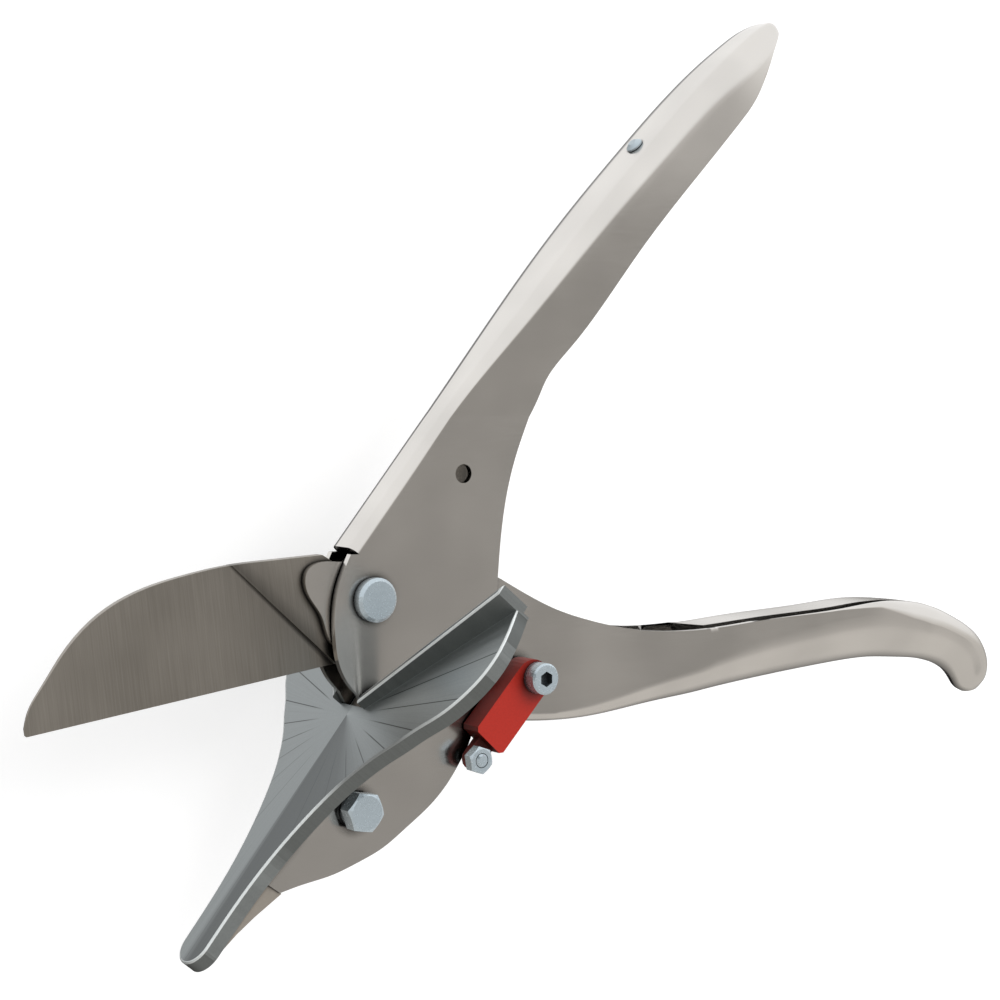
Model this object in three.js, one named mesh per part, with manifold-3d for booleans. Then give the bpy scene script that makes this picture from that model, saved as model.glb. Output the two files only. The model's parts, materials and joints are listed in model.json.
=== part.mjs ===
// Trim snips: two folded steel levers, a ground blade and a mitre anvil.
// Millimetres, +Z up. The snips lie on their side, so the pivot axis points up.
// X runs from the jaws to the handles. The levers stand fully open.

import * as THREE from "three";
import { mergeVertices } from "three/addons/utils/BufferGeometryUtils.js";
import Module from "manifold-3d";

const wasm = await Module();
wasm.setup();

// Driving dimensions

const sheet = 1.5; // plate of both levers
const bladeThick = 2.4;
const runClear = 0.3; // between pieces that turn past each other
const seatClear = 0.12; // between pieces that are fixed to each other
const bearingClear = 0.16; // on the diameter of a pin that turns in its bore
const overrun = 2; // how far a cutter stands past what it cuts
const weldGap = 0.0001; // points closer than this are one point

const pattern = 100; // side of the square that the outlines of head, blade and anvil are drawn on
const upperGrip = 170; // pivot to the end of the upper handle
const lowerGrip = 187; // pivot to the end of the lower handle
const gripHalfWidth = 8.2; // half the width of a handle channel
const headFold = 2.1; // outer fold radius of a channel near the head
const edgeRound = 0.4; // broken edge of the sheet

const openAngle = 42.9; // the blade lever's whole travel, degrees
const tableAngle = -129.7; // direction of the anvil's table, degrees
const tableThick = 3.6;
const fenceHeight = 6.2; // at the wing's end
const fenceLow = 2.6; // and at the slot
const fenceThick = 1.6;
const fenceFoot = 2.8; // along the table, where the foot lines of the fences cross
const noseRadius = 4.8;
const noseRibHalf = 4.2; // half the width of the rib under the nose

const bladeReach = 81; // pivot's foot to the tip, along the edge
const edgeThick = 0.3;
const spineThick = 1.7; // of the ground part
const pivotBore = 6.2;
const bushDiameter = 8;
const pivotHeadDiameter = 9.6;
const pivotHeadHeight = 2.6;
const pivotChamfer = 0.7;
const pivotNutFlats = 10;
const pivotNutHeight = 3.4;
const pivotWasherDiameter = 11.5;
const washerThick = 1;

const anvilBoltDiameter = 5;
const anvilBoltFlats = 8;
const anvilBoltHeadHeight = 3.5;
const springWasherThick = 1.3;
const anvilNutHeight = 4;
const anvilPinDiameter = 3;

const bladeRivetDiameter = 4;

const latchBearing = -26.3; // direction of the latch axis, degrees
const latchArm = 22.6; // latch axis to catch
const latchHeading = 227; // direction of the latch's body, degrees
const catchHeading = 229; // and of the catch, open
const catchClosed = 142.7; // and closed
const latchWidth = 9.2;
const latchBody = 18.5; // latch axis to the body's square end
const latchCrown = 3.6; // and to its round end
const latchOffset = 0.3; // the body's middle line beside the axis
const latchThick = 5.6;
const tongueWidth = 4.8;
const tongueThick = 1.8;
const tongueLift = 1.6; // tongue above the body's underside
const latchScrewDiameter = 3.5;
const capHeadDiameter = 7;
const capHeadHeight = 3;
const capSocketFlats = 3;
const capSocketDepth = 1.8;
const latchNutFlats = 6.2;
const latchNutHeight = 2.4;
const catchScrewDiameter = 3;
const catchNutFlats = 5.5;
const latchSpacerDiameter = 7;
const latchWasherThick = 0.6;
const catchHoleDiameter = 4.2;
const webRivetDiameter = 4;
const webRivetHeight = 1.2;
const webRivetShank = 2.2;
const springThick = 0.8;
const springWidth = 7;

// Places in the head, in shares of the pattern

const tableDropShare = 0.131; // pivot axis to the table
const apexShare = 0.217; // along the table, from the pivot's foot to the apex of the fences
const anvilBoltShares = [0.158, -0.12]; // from the apex, along the table and above it
const anvilPinShares = [-0.08, -0.1];
const ribDepthShare = 0.17; // of the rib under the table
const bladeRivetShare = 0.14; // from the pivot axis
const latchShare = 0.433; // latch axis from the pivot axis

// Places that follow from them

const bladeHalf = bladeThick / 2;
const innerLow = bladeHalf + seatClear; // the blade lever's plates
const innerHigh = innerLow + sheet;
const outerLow = innerHigh + runClear; // the anvil lever's plates
const outerHigh = outerLow + sheet;
const nearSeat = outerHigh + seatClear; // where heads and washers sit
const tableDrop = tableDropShare * pattern;
const edgeDrop = tableDrop - runClear;
const wingSlot = outerHigh + runClear; // half the slot that the levers turn in, between the wings
const fenceBack = fenceFoot - fenceThick * Math.SQRT2;
const slotEnd = fenceFoot - wingSlot - runClear; // along the table, from the apex

const radians = THREE.MathUtils.degToRad;
const direction = (degrees) => new THREE.Vector2(Math.cos(radians(degrees)), Math.sin(radians(degrees)));
const tableRun = direction(tableAngle);
const tableUp = new THREE.Vector2(tableRun.y, -tableRun.x);
const apex = tableRun.clone().multiplyScalar(apexShare * pattern).addScaledVector(tableUp, -tableDrop);
const onTable = (along, up) => apex.clone().addScaledVector(tableRun, along).addScaledVector(tableUp, up);
const edgeRun = direction(tableAngle - openAngle);
const edgeUp = new THREE.Vector2(edgeRun.y, -edgeRun.x);
const onBlade = (along, up) => new THREE.Vector2().addScaledVector(edgeRun, along).addScaledVector(edgeUp, up - edgeDrop);
const latchAxis = direction(latchBearing).multiplyScalar(latchShare * pattern);
const catchPoint = latchAxis.clone().addScaledVector(direction(catchHeading), latchArm);
const catchTurn = radians(openAngle);
const turned = (point, angle) => point.clone().rotateAround(new THREE.Vector2(), angle);

// Materials

const steel = (color, roughness) => new THREE.MeshStandardMaterial({ color, roughness, metalness: 1, flatShading: true });
const nickel = steel(0x96928d, 0.18);
const groundSteel = steel(0x86807a, 0.35);
const zincCasting = steel(0x8f9797, 0.45);
const zincPlate = steel(0xb4c4cc, 0.3);
const bronze = steel(0x9a6b3c, 0.4);
const redPlastic = new THREE.MeshStandardMaterial({ color: 0xc8321e, roughness: 0.45, metalness: 0, flatShading: true });

// Solids

// Six times the volume within the faces, below 0 where they point inwards.
function enclosed(positions, faces) {
  const [a, b, c] = [new THREE.Vector3(), new THREE.Vector3(), new THREE.Vector3()];
  let total = 0;
  for (let i = 0; i < faces.length; i += 3) {
    a.fromBufferAttribute(positions, faces[i]);
    b.fromBufferAttribute(positions, faces[i + 1]);
    c.fromBufferAttribute(positions, faces[i + 2]);
    total += a.dot(b.cross(c));
  }
  return total;
}

function solidOf(geometry) {
  const bare = geometry.clone();
  bare.deleteAttribute("normal");
  bare.deleteAttribute("uv");
  const welded = mergeVertices(bare, weldGap);
  const faces = new Uint32Array(welded.index.array);
  if (enclosed(welded.attributes.position, faces) < 0) {
    faces.reverse();
  }
  return new wasm.Manifold(
    new wasm.Mesh({ numProp: 3, vertProperties: new Float32Array(welded.attributes.position.array), triVerts: faces }),
  );
}

function geometryOf(solid) {
  const mesh = solid.getMesh();
  const geometry = new THREE.BufferGeometry();
  geometry.setAttribute("position", new THREE.BufferAttribute(new Float32Array(mesh.vertProperties), 3));
  geometry.setIndex(new THREE.BufferAttribute(new Uint32Array(mesh.triVerts), 1));
  geometry.computeVertexNormals();
  return geometry;
}

const joined = (...solids) => solids.reduce((whole, next) => whole.add(next));
const without = (solid, ...cutters) => cutters.reduce((rest, cutter) => rest.subtract(cutter), solid);

function plate(shape, low, high, segments = 6) {
  const geometry = new THREE.ExtrudeGeometry(shape, { depth: high - low, bevelEnabled: false, curveSegments: segments });
  return solidOf(geometry.translate(0, 0, low));
}

const mirrored = (solid) => solid.mirror([0, 0, 1]);

function pin(diameter, low, high, at = new THREE.Vector2(), sides = 28) {
  const geometry = new THREE.CylinderGeometry(diameter / 2, diameter / 2, high - low, sides);
  return solidOf(geometry.rotateX(Math.PI / 2).translate(at.x, at.y, (low + high) / 2));
}

function hexagon(flats, low, high, at, turn = 0) {
  const corner = flats / Math.sqrt(3);
  const geometry = new THREE.CylinderGeometry(corner, corner, high - low, 6);
  return solidOf(geometry.rotateX(Math.PI / 2).rotateZ(turn).translate(at.x, at.y, (low + high) / 2));
}

// A turned body: the profile is a list of [radius, height] and closes on the axis.
function turnedBody(profile, at = new THREE.Vector2(), sides = 28) {
  const points = profile.map(([radius, height]) => new THREE.Vector2(radius, height));
  const geometry = new THREE.LatheGeometry(points, sides);
  return solidOf(geometry.rotateX(Math.PI / 2).translate(at.x, at.y, 0));
}

function ring(outer, bore, low, high, at, sides = 28) {
  return without(pin(outer, low, high, at, sides), pin(bore, low - overrun, high + overrun, at, sides));
}

// A hexagon with its outer corners chamfered by a cone.
function hexHead(flats, low, high, at, turn = 0) {
  const corner = flats / Math.sqrt(3);
  const cone = turnedBody(
    [[0, low], [corner, low], [corner, high - (corner - flats / 2)], [flats / 2 - (corner - flats / 2) / 2, high], [0, high]],
    at,
  );
  return hexagon(flats, low, high, at, turn).intersect(cone);
}

const smooth = (points) => new THREE.SplineCurve(points).getPoints(points.length * 3);
const shapeOf = (points) => new THREE.Shape(points);
const fromShares = (shares, size) => shares.map(([x, y]) => new THREE.Vector2(x * size, y * size));

// Channels: a folded sheet whose section changes along the handle

// One ring of a channel's outer skin, or of the space inside it.
function channelRing(station, inset) {
  const { back, open, half, fold } = station;
  const run = open.clone().sub(back);
  const depth = run.length();
  run.normalize();
  const bottom = inset;
  const top = inset > 0 ? depth + overrun : depth;
  const side = half - inset;
  const round = Math.min(Math.max(fold - inset, edgeRound), side - edgeRound);
  const brim = inset > 0 ? edgeRound : Math.min(station.brim ?? edgeRound, side - edgeRound);
  const corners = [
    { across: side - round, deep: bottom + round, radius: round, from: 0, steps: 5 },
    { across: -(side - round), deep: bottom + round, radius: round, from: 1, steps: 5 },
    { across: -(side - brim), deep: top - brim, radius: brim, from: 2, steps: 3 },
    { across: side - brim, deep: top - brim, radius: brim, from: 3, steps: 3 },
  ];
  const points = [];
  for (const { across, deep, radius, from, steps } of corners) {
    for (let step = 0; step <= steps; step++) {
      const angle = ((from + step / steps) * Math.PI) / 2;
      const z = across + radius * Math.cos(angle);
      const down = deep - radius * Math.sin(angle);
      points.push(new THREE.Vector3(back.x + run.x * down, back.y + run.y * down, z));
    }
  }
  return points;
}

function loft(rings) {
  const count = rings[0].length;
  const positions = rings.flat().flatMap((point) => [point.x, point.y, point.z]);
  const index = [];
  for (let row = 0; row + 1 < rings.length; row++) {
    for (let i = 0; i < count; i++) {
      const a = row * count + i;
      const b = row * count + ((i + 1) % count);
      index.push(a, b, b + count, a, b + count, a + count);
    }
  }
  const last = (rings.length - 1) * count;
  for (let i = 1; i + 1 < count; i++) {
    index.push(0, i + 1, i, last, last + i, last + i + 1);
  }
  const geometry = new THREE.BufferGeometry();
  geometry.setAttribute("position", new THREE.Float32BufferAttribute(positions, 3));
  geometry.setIndex(index);
  return solidOf(geometry);
}

// Stations between the given ones follow a spline through them.
function refined(stations, steps) {
  const fields = [
    (s) => new THREE.Vector3(s.back.x, s.back.y, s.half),
    (s) => new THREE.Vector3(s.open.x, s.open.y, s.fold),
    (s) => new THREE.Vector3(s.brim ?? edgeRound, 0, 0),
  ];
  const [backs, opens, brims] = fields.map((pick) => new THREE.CatmullRomCurve3(stations.map(pick), false, "centripetal"));
  const total = (stations.length - 1) * steps;
  return Array.from({ length: total + 1 }, (_, i) => {
    const share = i / total;
    const back = backs.getPoint(share);
    const open = opens.getPoint(share);
    return {
      back: new THREE.Vector2(back.x, back.y),
      open: new THREE.Vector2(open.x, open.y),
      half: back.z,
      fold: Math.max(open.z, edgeRound),
      brim: Math.max(brims.getPoint(share).x, edgeRound),
    };
  });
}

// Anvil lever: the outer plates, the lower jaw and the upper handle

// Web line and open edge of the upper handle, in shares of its length, with half width and fold in shares of the half width.
const upperShares = [
  { back: [0.107, 0.226], open: [0.242, 0.224], half: 0, fold: 0 },
  { back: [0.151, 0.277], open: [0.266, 0.272], half: 0.2, fold: 0.3 },
  { back: [0.218, 0.353], open: [0.31, 0.324], half: 0.6, fold: 0.36 },
  { back: [0.329, 0.475], open: [0.409, 0.441], half: 0.92, fold: 0.42 },
  { back: [0.436, 0.583], open: [0.505, 0.543], half: 1, fold: 0.45 },
  { back: [0.522, 0.664], open: [0.586, 0.624], half: 0.98, fold: 0.45 },
  { back: [0.57, 0.704], open: [0.616, 0.662], half: 0.94, fold: 0.42 },
];
// The rounded end, where the sides run out.
const upperEndShares = [
  { back: [0.603, 0.729], open: [0.635, 0.698], half: 0.92, fold: 0.38 },
  { back: [0.632, 0.748], open: [0.65, 0.725], half: 0.81, fold: 0.3 },
  { back: [0.652, 0.758], open: [0.663, 0.74], half: 0.62, fold: 0.22 },
  { back: [0.667, 0.761], open: [0.673, 0.749], half: 0.38, fold: 0.12 },
  { back: [0.676, 0.757], open: [0.678, 0.75], half: 0.15, fold: 0.06 },
];

// Front edge, jaw and open edge of the outer plates, in shares of the pattern.
const headFrontShares = [
  [-0.054, 0.099], [-0.081, 0.041], [-0.094, -0.02], [-0.093, -0.08], [-0.083, -0.135], [-0.06, -0.178], [-0.036, -0.204],
];
const jawShares = [
  [-0.228, -0.603], [-0.177, -0.595], [-0.102, -0.583], [-0.045, -0.566], [0.027, -0.538], [0.08, -0.505],
  [0.147, -0.459], [0.197, -0.41], [0.248, -0.335],
];
const headBackShares = [[0.275, -0.27], [0.315, -0.09], [0.328, 0.05], [0.345, 0.186], [0.372, 0.287]];
const webFront = new THREE.Vector2(-0.049, 0.112).multiplyScalar(pattern);
const webKnee = new THREE.Vector2(0.066, 0.248).multiplyScalar(pattern);
const plateFrontShare = 0.4; // how far along the table the jaw plates reach

function upperStations() {
  const grow = gripHalfWidth - outerHigh;
  const spread = (share) => outerHigh + grow * share;
  const place = ([x, y]) => new THREE.Vector2(x, y).multiplyScalar(upperGrip);
  const grip = upperShares.map(({ back, open, half, fold }) => ({
    back: place(back),
    open: place(open),
    half: spread(half),
    fold: Math.max(headFold, gripHalfWidth * fold),
    brim: edgeRound,
  }));
  const end = upperEndShares.map(({ back, open, half, fold }) => ({
    back: place(back),
    open: place(open),
    half: gripHalfWidth * half,
    fold: gripHalfWidth * fold,
    brim: edgeRound,
  }));
  const along = webKnee.clone().sub(webFront).normalize();
  const inward = new THREE.Vector2(along.y, -along.x).multiplyScalar(headFold + sheet);
  const start = [webFront, webKnee].map((back) => ({ back, open: back.clone().add(inward), half: outerHigh, fold: headFold, brim: edgeRound }));
  return { start, grip, end };
}

function outerPlateShape() {
  const under = -(tableThick + seatClear);
  const top = upperShares[0];
  const points = [
    ...smooth(fromShares(headFrontShares, pattern)),
    onTable(slotEnd - seatClear, 0),
    onTable(slotEnd - seatClear, under),
    onTable(plateFrontShare * pattern, under),
    ...smooth(fromShares(jawShares, pattern)),
    ...smooth([...fromShares(headBackShares, pattern), new THREE.Vector2(...top.open).multiplyScalar(upperGrip)]),
    new THREE.Vector2(...top.back).multiplyScalar(upperGrip),
    webKnee.clone().addScaledVector(edgeRun, -sheet / 2),
    webFront,
  ];
  return shapeOf(points);
}

const catchHole = (() => {
  const axis = turned(latchAxis, catchTurn);
  return axis.add(direction(catchClosed).multiplyScalar(latchArm));
})();
const [anvilBoltAt, anvilPinAt] = [anvilBoltShares, anvilPinShares].map(([along, up]) => onTable(along * pattern, up * pattern));
const bladeRivetAt = new THREE.Vector2(bladeRivetShare * pattern, 0);

const springShares = [[-0.025, 0], [0.03, 0], [0.09, 0.004], [0.15, 0.018], [0.2, 0.036], [0.215, 0.036]];

function anvilLever() {
  const near = plate(outerPlateShape(), outerLow, outerHigh);
  const { start, grip, end } = upperStations();
  const web = [...start, grip[0]];
  const outside = joined(loft(web.map((s) => channelRing(s, 0))), loft(refined([...grip, ...end], 3).map((s) => channelRing(s, 0))));
  const hollow = [...grip, ...end.slice(0, 3)];
  const ahead = { ...start[0], back: start[0].back.clone().addScaledVector(tableRun, overrun), open: start[0].open.clone().addScaledVector(tableRun, overrun) };
  const inside = joined(
    loft([ahead, ...web].map((s) => channelRing(s, sheet))),
    loft(refined(hollow, 3).map((s) => channelRing(s, sheet))),
  );
  const holes = [
    pin(pivotBore, -outerHigh - overrun, outerHigh + overrun),
    pin(anvilBoltDiameter + runClear, -outerHigh - overrun, outerHigh + overrun, anvilBoltAt),
    pin(anvilPinDiameter + runClear, -outerHigh - overrun, outerHigh + overrun, anvilPinAt),
    pin(catchHoleDiameter, 0, outerHigh + overrun, catchHole),
  ];
  const rivetBore = new THREE.CylinderGeometry(webRivetShank / 2 + seatClear, webRivetShank / 2 + seatClear, sheet * 4, 20);
  return without(joined(outside.subtract(inside), near, mirrored(near)), ...holes, onRivet(solidOf(rivetBore)));
}

// Blade lever: the inner plates and the lower handle with its hook

const lowerShares = [
  { back: [0.186, -0.158], open: [0.186, 0.012], half: 0, fold: 0 },
  { back: [0.266, -0.165], open: [0.266, -0.029], half: 0, fold: 0.15 },
  { back: [0.319, -0.164], open: [0.319, -0.047], half: 0.25, fold: 0.5 },
  { back: [0.385, -0.157], open: [0.383, -0.061], half: 0.62, fold: 0.75 },
  { back: [0.486, -0.148], open: [0.484, -0.065], half: 0.97, fold: 0.9 },
  { back: [0.577, -0.139], open: [0.574, -0.06], half: 1, fold: 0.95 },
  { back: [0.71, -0.129], open: [0.707, -0.054], half: 1, fold: 0.95 },
  { back: [0.804, -0.128], open: [0.8, -0.051], half: 0.95, fold: 0.9 },
];
const hookShares = [
  { back: [0.836, -0.131], open: [0.838, -0.0545], half: 0.9 },
  { back: [0.87, -0.135], open: [0.885, -0.063], half: 0.85 },
  { back: [0.903, -0.142], open: [0.932, -0.082], half: 0.78 },
  { back: [0.93, -0.154], open: [0.974, -0.106], half: 0.7 },
  { back: [0.946, -0.169], open: [0.997, -0.137], half: 0.6 },
  { back: [0.956, -0.182], open: [0.998, -0.166], half: 0.48 },
  { back: [0.968, -0.188], open: [0.985, -0.184], half: 0.26 },
];
const innerShares = [
  [-0.02, 0.092], [-0.06, 0.083], [-0.116, 0.085], [-0.15, 0.068], [-0.155, 0.038], [-0.139, 0.003], [-0.115, -0.032],
  [-0.1, -0.075], [-0.066, -0.112], [0.005, -0.124], [0.06, -0.108], [0.12, -0.1], [0.175, -0.15], [0.24, -0.235],
  [0.3, -0.285], [0.35, -0.297],
];
const innerTopShares = [[0.5, -0.0545], [0.476, -0.043], [0.4, 0.002], [0.33, 0.037], [0.22, 0.075], [0.12, 0.088], [0.04, 0.085]];

function lowerStations() {
  const spread = (share) => innerHigh + (gripHalfWidth - innerHigh) * share;
  const place = ([x, y]) => new THREE.Vector2(x, y).multiplyScalar(lowerGrip);
  const grip = lowerShares.map(({ back, open, half, fold }) => ({
    back: place(back),
    open: place(open),
    half: spread(half),
    fold: Math.max(headFold, spread(half) * fold),
    brim: edgeRound,
  }));
  const hook = hookShares.map(({ back, open, half }) => ({
    back: place(back),
    open: place(open),
    half: gripHalfWidth * half,
    fold: gripHalfWidth * half * 0.9,
    brim: gripHalfWidth * half * 0.6,
  }));
  return { grip, hook };
}

function innerPlateShape() {
  const last = lowerShares[1];
  return shapeOf([
    ...smooth(fromShares(innerShares, pattern)),
    new THREE.Vector2(...last.back).multiplyScalar(lowerGrip),
    new THREE.Vector2(...last.open).multiplyScalar(lowerGrip),
    ...smooth(fromShares(innerTopShares, pattern).slice(1)),
  ]);
}

function bladeLever() {
  const near = plate(innerPlateShape(), innerLow, innerHigh);
  const { grip, hook } = lowerStations();
  const outside = loft(refined([...grip, ...hook], 3).map((s) => channelRing(s, 0)));
  const first = { ...grip[0], back: grip[0].back.clone().setX(grip[0].back.x - overrun), open: grip[0].open.clone().setX(grip[0].open.x - overrun) };
  const inside = loft([channelRing(first, sheet), ...refined([...grip, hook[0]], 3).map((s) => channelRing(s, sheet))]);
  const through = innerHigh + overrun;
  const holes = [
    pin(bushDiameter + seatClear * 2, -through, through),
    pin(bladeRivetDiameter + seatClear * 2, -through, through, bladeRivetAt),
    pin(latchScrewDiameter + runClear, 0, through, latchAxis),
  ];
  return without(joined(outside.subtract(inside), near, mirrored(near)), ...holes);
}

// Blade

const spineShares = [
  [0.81, 0], [0.81, 0.018], [0.797, 0.049], [0.761, 0.092], [0.707, 0.149], [0.62, 0.211], [0.507, 0.246],
  [0.413, 0.255], [0.319, 0.257], [0.192, 0.248], [0.09, 0.239], [0.05, 0.207],
];
const grindTopShare = 0.312; // where the grind's shoulder meets the spine
const grindFootShare = 0.09; // and the edge

function blade() {
  const outline = fromShares(spineShares, pattern).map((p) => onBlade((p.x * bladeReach) / (spineShares[0][0] * pattern), p.y));
  const body = plate(shapeOf([onBlade(0, 0), ...outline]), -bladeHalf, bladeHalf);
  const eye = pin(0.184 * pattern, -bladeHalf, bladeHalf);
  const tail = plate(
    shapeOf([[0, 0.088], [0.12, 0.07], [0.18, 0.04], [0.18, -0.04], [0.12, -0.075], [0, -0.092]].map(([x, y]) => new THREE.Vector2(x * pattern, y * pattern))),
    -bladeHalf,
    bladeHalf,
  );
  const high = 0.3 * pattern;
  const far = bladeReach + overrun;
  const shoulder = shapeOf([
    onBlade((grindFootShare - 0.02) * pattern, -overrun),
    onBlade(far, -overrun),
    onBlade(far, high),
    onBlade((grindTopShare + 0.035) * pattern, high),
  ]);
  const zone = plate(shoulder, 0, bladeHalf + overrun);
  const slope = (spineThick - edgeThick) / 2 / (0.258 * pattern);
  const rows = [-overrun, far].map((along) =>
    [[-overrun, edgeThick / 2 - slope * overrun], [high, edgeThick / 2 + slope * high], [high, bladeHalf + overrun], [-overrun, bladeHalf + overrun]].map(
      ([up, z]) => {
        const p = onBlade(along, up);
        return new THREE.Vector3(p.x, p.y, z);
      },
    ),
  );
  const cut = loft(rows).intersect(zone);
  const holes = [
    pin(bushDiameter + seatClear * 2, -bladeHalf - overrun, bladeHalf + overrun),
    pin(bladeRivetDiameter + seatClear * 2, -bladeHalf - overrun, bladeHalf + overrun, bladeRivetAt),
  ];
  return without(joined(body, eye, tail), cut, mirrored(cut), ...holes);
}

// Anvil: an arrow-shaped table with two wings, a rib between the jaw plates and two fences

const flankShares = [
  [0.58, 0.048], [0.5, 0.049], [0.41, 0.056], [0.32, 0.073], [0.2, 0.113], [0.164, 0.13], [0.113, 0.162], [0.07, 0.197],
  [0.033, 0.234], [0, 0.264], [-0.045, 0.312], [-0.1, 0.35], [-0.16, 0.372], [-0.22, 0.374],
];
const wingEnd = new THREE.Vector2(-0.318, 0.345).multiplyScalar(pattern);
const ribShares = [[-0.14, 0], [-0.14, -1], [0.24, -1], [0.34, -0.64], [0.405, -0.44], [0.405, 0]];
const noseRibShares = [[0.405, 0], [0.405, -0.5], [0.43, -0.44], [0.47, -0.36], [0.52, -0.27], [0.56, -0.235], [0.585, -0.22], [0.585, 0]];

function toTable(solid) {
  const place = new THREE.Matrix4().makeBasis(
    new THREE.Vector3(tableRun.x, tableRun.y, 0),
    new THREE.Vector3(0, 0, 1),
    new THREE.Vector3(tableUp.x, tableUp.y, 0),
  );
  place.setPosition(apex.x, apex.y, 0);
  return solid.transform(place.elements);
}

function anvil() {
  const slot = wingSlot;
  const back = fenceBack;
  const flank = smooth(fromShares(flankShares, pattern));
  const half = [...flank, wingEnd, new THREE.Vector2(back - wingEnd.y + fenceThick, wingEnd.y), new THREE.Vector2(back - slot, slot), new THREE.Vector2(slotEnd, slot)];
  const other = half.map((p) => new THREE.Vector2(p.x, -p.y)).reverse();
  const tip = new THREE.Vector2(flankShares[0][0] * pattern, 0);
  const nose = Array.from({ length: 9 }, (_, i) => {
    const angle = ((i + 1) / 10 - 0.5) * Math.PI;
    return new THREE.Vector2(tip.x + noseRadius * Math.cos(angle), noseRadius * Math.sin(angle));
  });
  const table = plate(shapeOf([...nose, ...half, ...other]), -tableThick, 0);
  const foot = -tableThick / 2;
  const fence = (side) => {
    const section = (across, high) =>
      [[fenceFoot, foot], [fenceBack, foot], [fenceBack, high], [fenceFoot, high]].map(
        ([start, up]) => new THREE.Vector3(start - across, across * side, up),
      );
    return loft([section(slot, fenceLow), section(wingEnd.y, fenceHeight)]);
  };
  const ribHalf = outerLow - seatClear;
  const ribDepth = ribDepthShare * pattern;
  const ribOutline = ribShares.map(([along, deep]) => onTable(along * pattern, deep * ribDepth));
  const noseOutline = noseRibShares.map(([along, deep]) => onTable(along * pattern, deep * ribDepth));
  const rib = joined(plate(shapeOf(ribOutline), -ribHalf, ribHalf), plate(shapeOf(noseOutline), -noseRibHalf, noseRibHalf));
  const holes = [
    pin(anvilBoltDiameter + runClear, -ribHalf - overrun, ribHalf + overrun, anvilBoltAt),
    pin(anvilPinDiameter + runClear, -ribHalf - overrun, ribHalf + overrun, anvilPinAt),
  ];
  return without(joined(toTable(table), toTable(fence(1)), toTable(fence(-1)), rib), ...holes);
}

// Fasteners

function pivotBolt() {
  const head = nearSeat + pivotHeadHeight;
  const r = pivotHeadDiameter / 2;
  const shank = (pivotBore - bearingClear) / 2;
  const end = -(nearSeat + washerThick + seatClear + pivotNutHeight + seatClear);
  return turnedBody([
    [0, end], [shank - edgeRound, end], [shank, end + edgeRound], [shank, nearSeat], [r, nearSeat], [r, head - pivotChamfer],
    [r - pivotChamfer, head], [0, head],
  ]);
}

const pivotBush = () => ring(bushDiameter, pivotBore, -(outerLow - seatClear), outerLow - seatClear, new THREE.Vector2());
const pivotWasher = () => ring(pivotWasherDiameter, pivotBore, -(nearSeat + washerThick), -nearSeat, new THREE.Vector2());

function nut(flats, bore, low, high, at, turn) {
  const whole = hexHead(flats, low, high, at, turn);
  return without(whole, pin(bore, low - overrun, high + overrun, at));
}

function pivotNut() {
  const high = -(nearSeat + washerThick + seatClear);
  const solid = nut(pivotNutFlats, pivotBore, -high, -high + pivotNutHeight, new THREE.Vector2(), radians(12));
  return mirrored(solid);
}

function anvilBolt() {
  const base = nearSeat + springWasherThick + seatClear;
  const end = -(nearSeat + washerThick + seatClear + anvilNutHeight + seatClear * 4);
  return joined(
    hexHead(anvilBoltFlats, base, base + anvilBoltHeadHeight, anvilBoltAt, radians(20)),
    pin(anvilBoltDiameter, end, base + anvilBoltHeadHeight / 2, anvilBoltAt),
  );
}

const springWasher = () => {
  const whole = ring(anvilBoltFlats - runClear, anvilBoltDiameter + runClear, nearSeat, nearSeat + springWasherThick, anvilBoltAt);
  const slit = new THREE.BoxGeometry(anvilBoltFlats, runClear, springWasherThick + overrun);
  slit.translate(anvilBoltFlats / 2, 0, nearSeat + springWasherThick / 2).translate(anvilBoltAt.x, anvilBoltAt.y, 0);
  return whole.subtract(solidOf(slit));
};

const anvilWasher = () => ring(anvilBoltFlats + washerThick * 2, anvilBoltDiameter + runClear, -(nearSeat + washerThick), -nearSeat, anvilBoltAt);

function anvilNut() {
  const low = nearSeat + washerThick + seatClear;
  return mirrored(nut(anvilBoltFlats, anvilBoltDiameter + runClear, low, low + anvilNutHeight, anvilBoltAt, radians(20)));
}

const anvilPin = () => pin(anvilPinDiameter, -outerHigh, outerHigh, anvilPinAt);
const bladeRivet = () => pin(bladeRivetDiameter, -innerHigh, innerHigh, bladeRivetAt);

// Latch

const latchLow = nearSeat + runClear;
const latchHigh = latchLow + latchThick;
const tongueLow = latchLow + tongueLift;
const tongueHigh = tongueLow + tongueThick;

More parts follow.
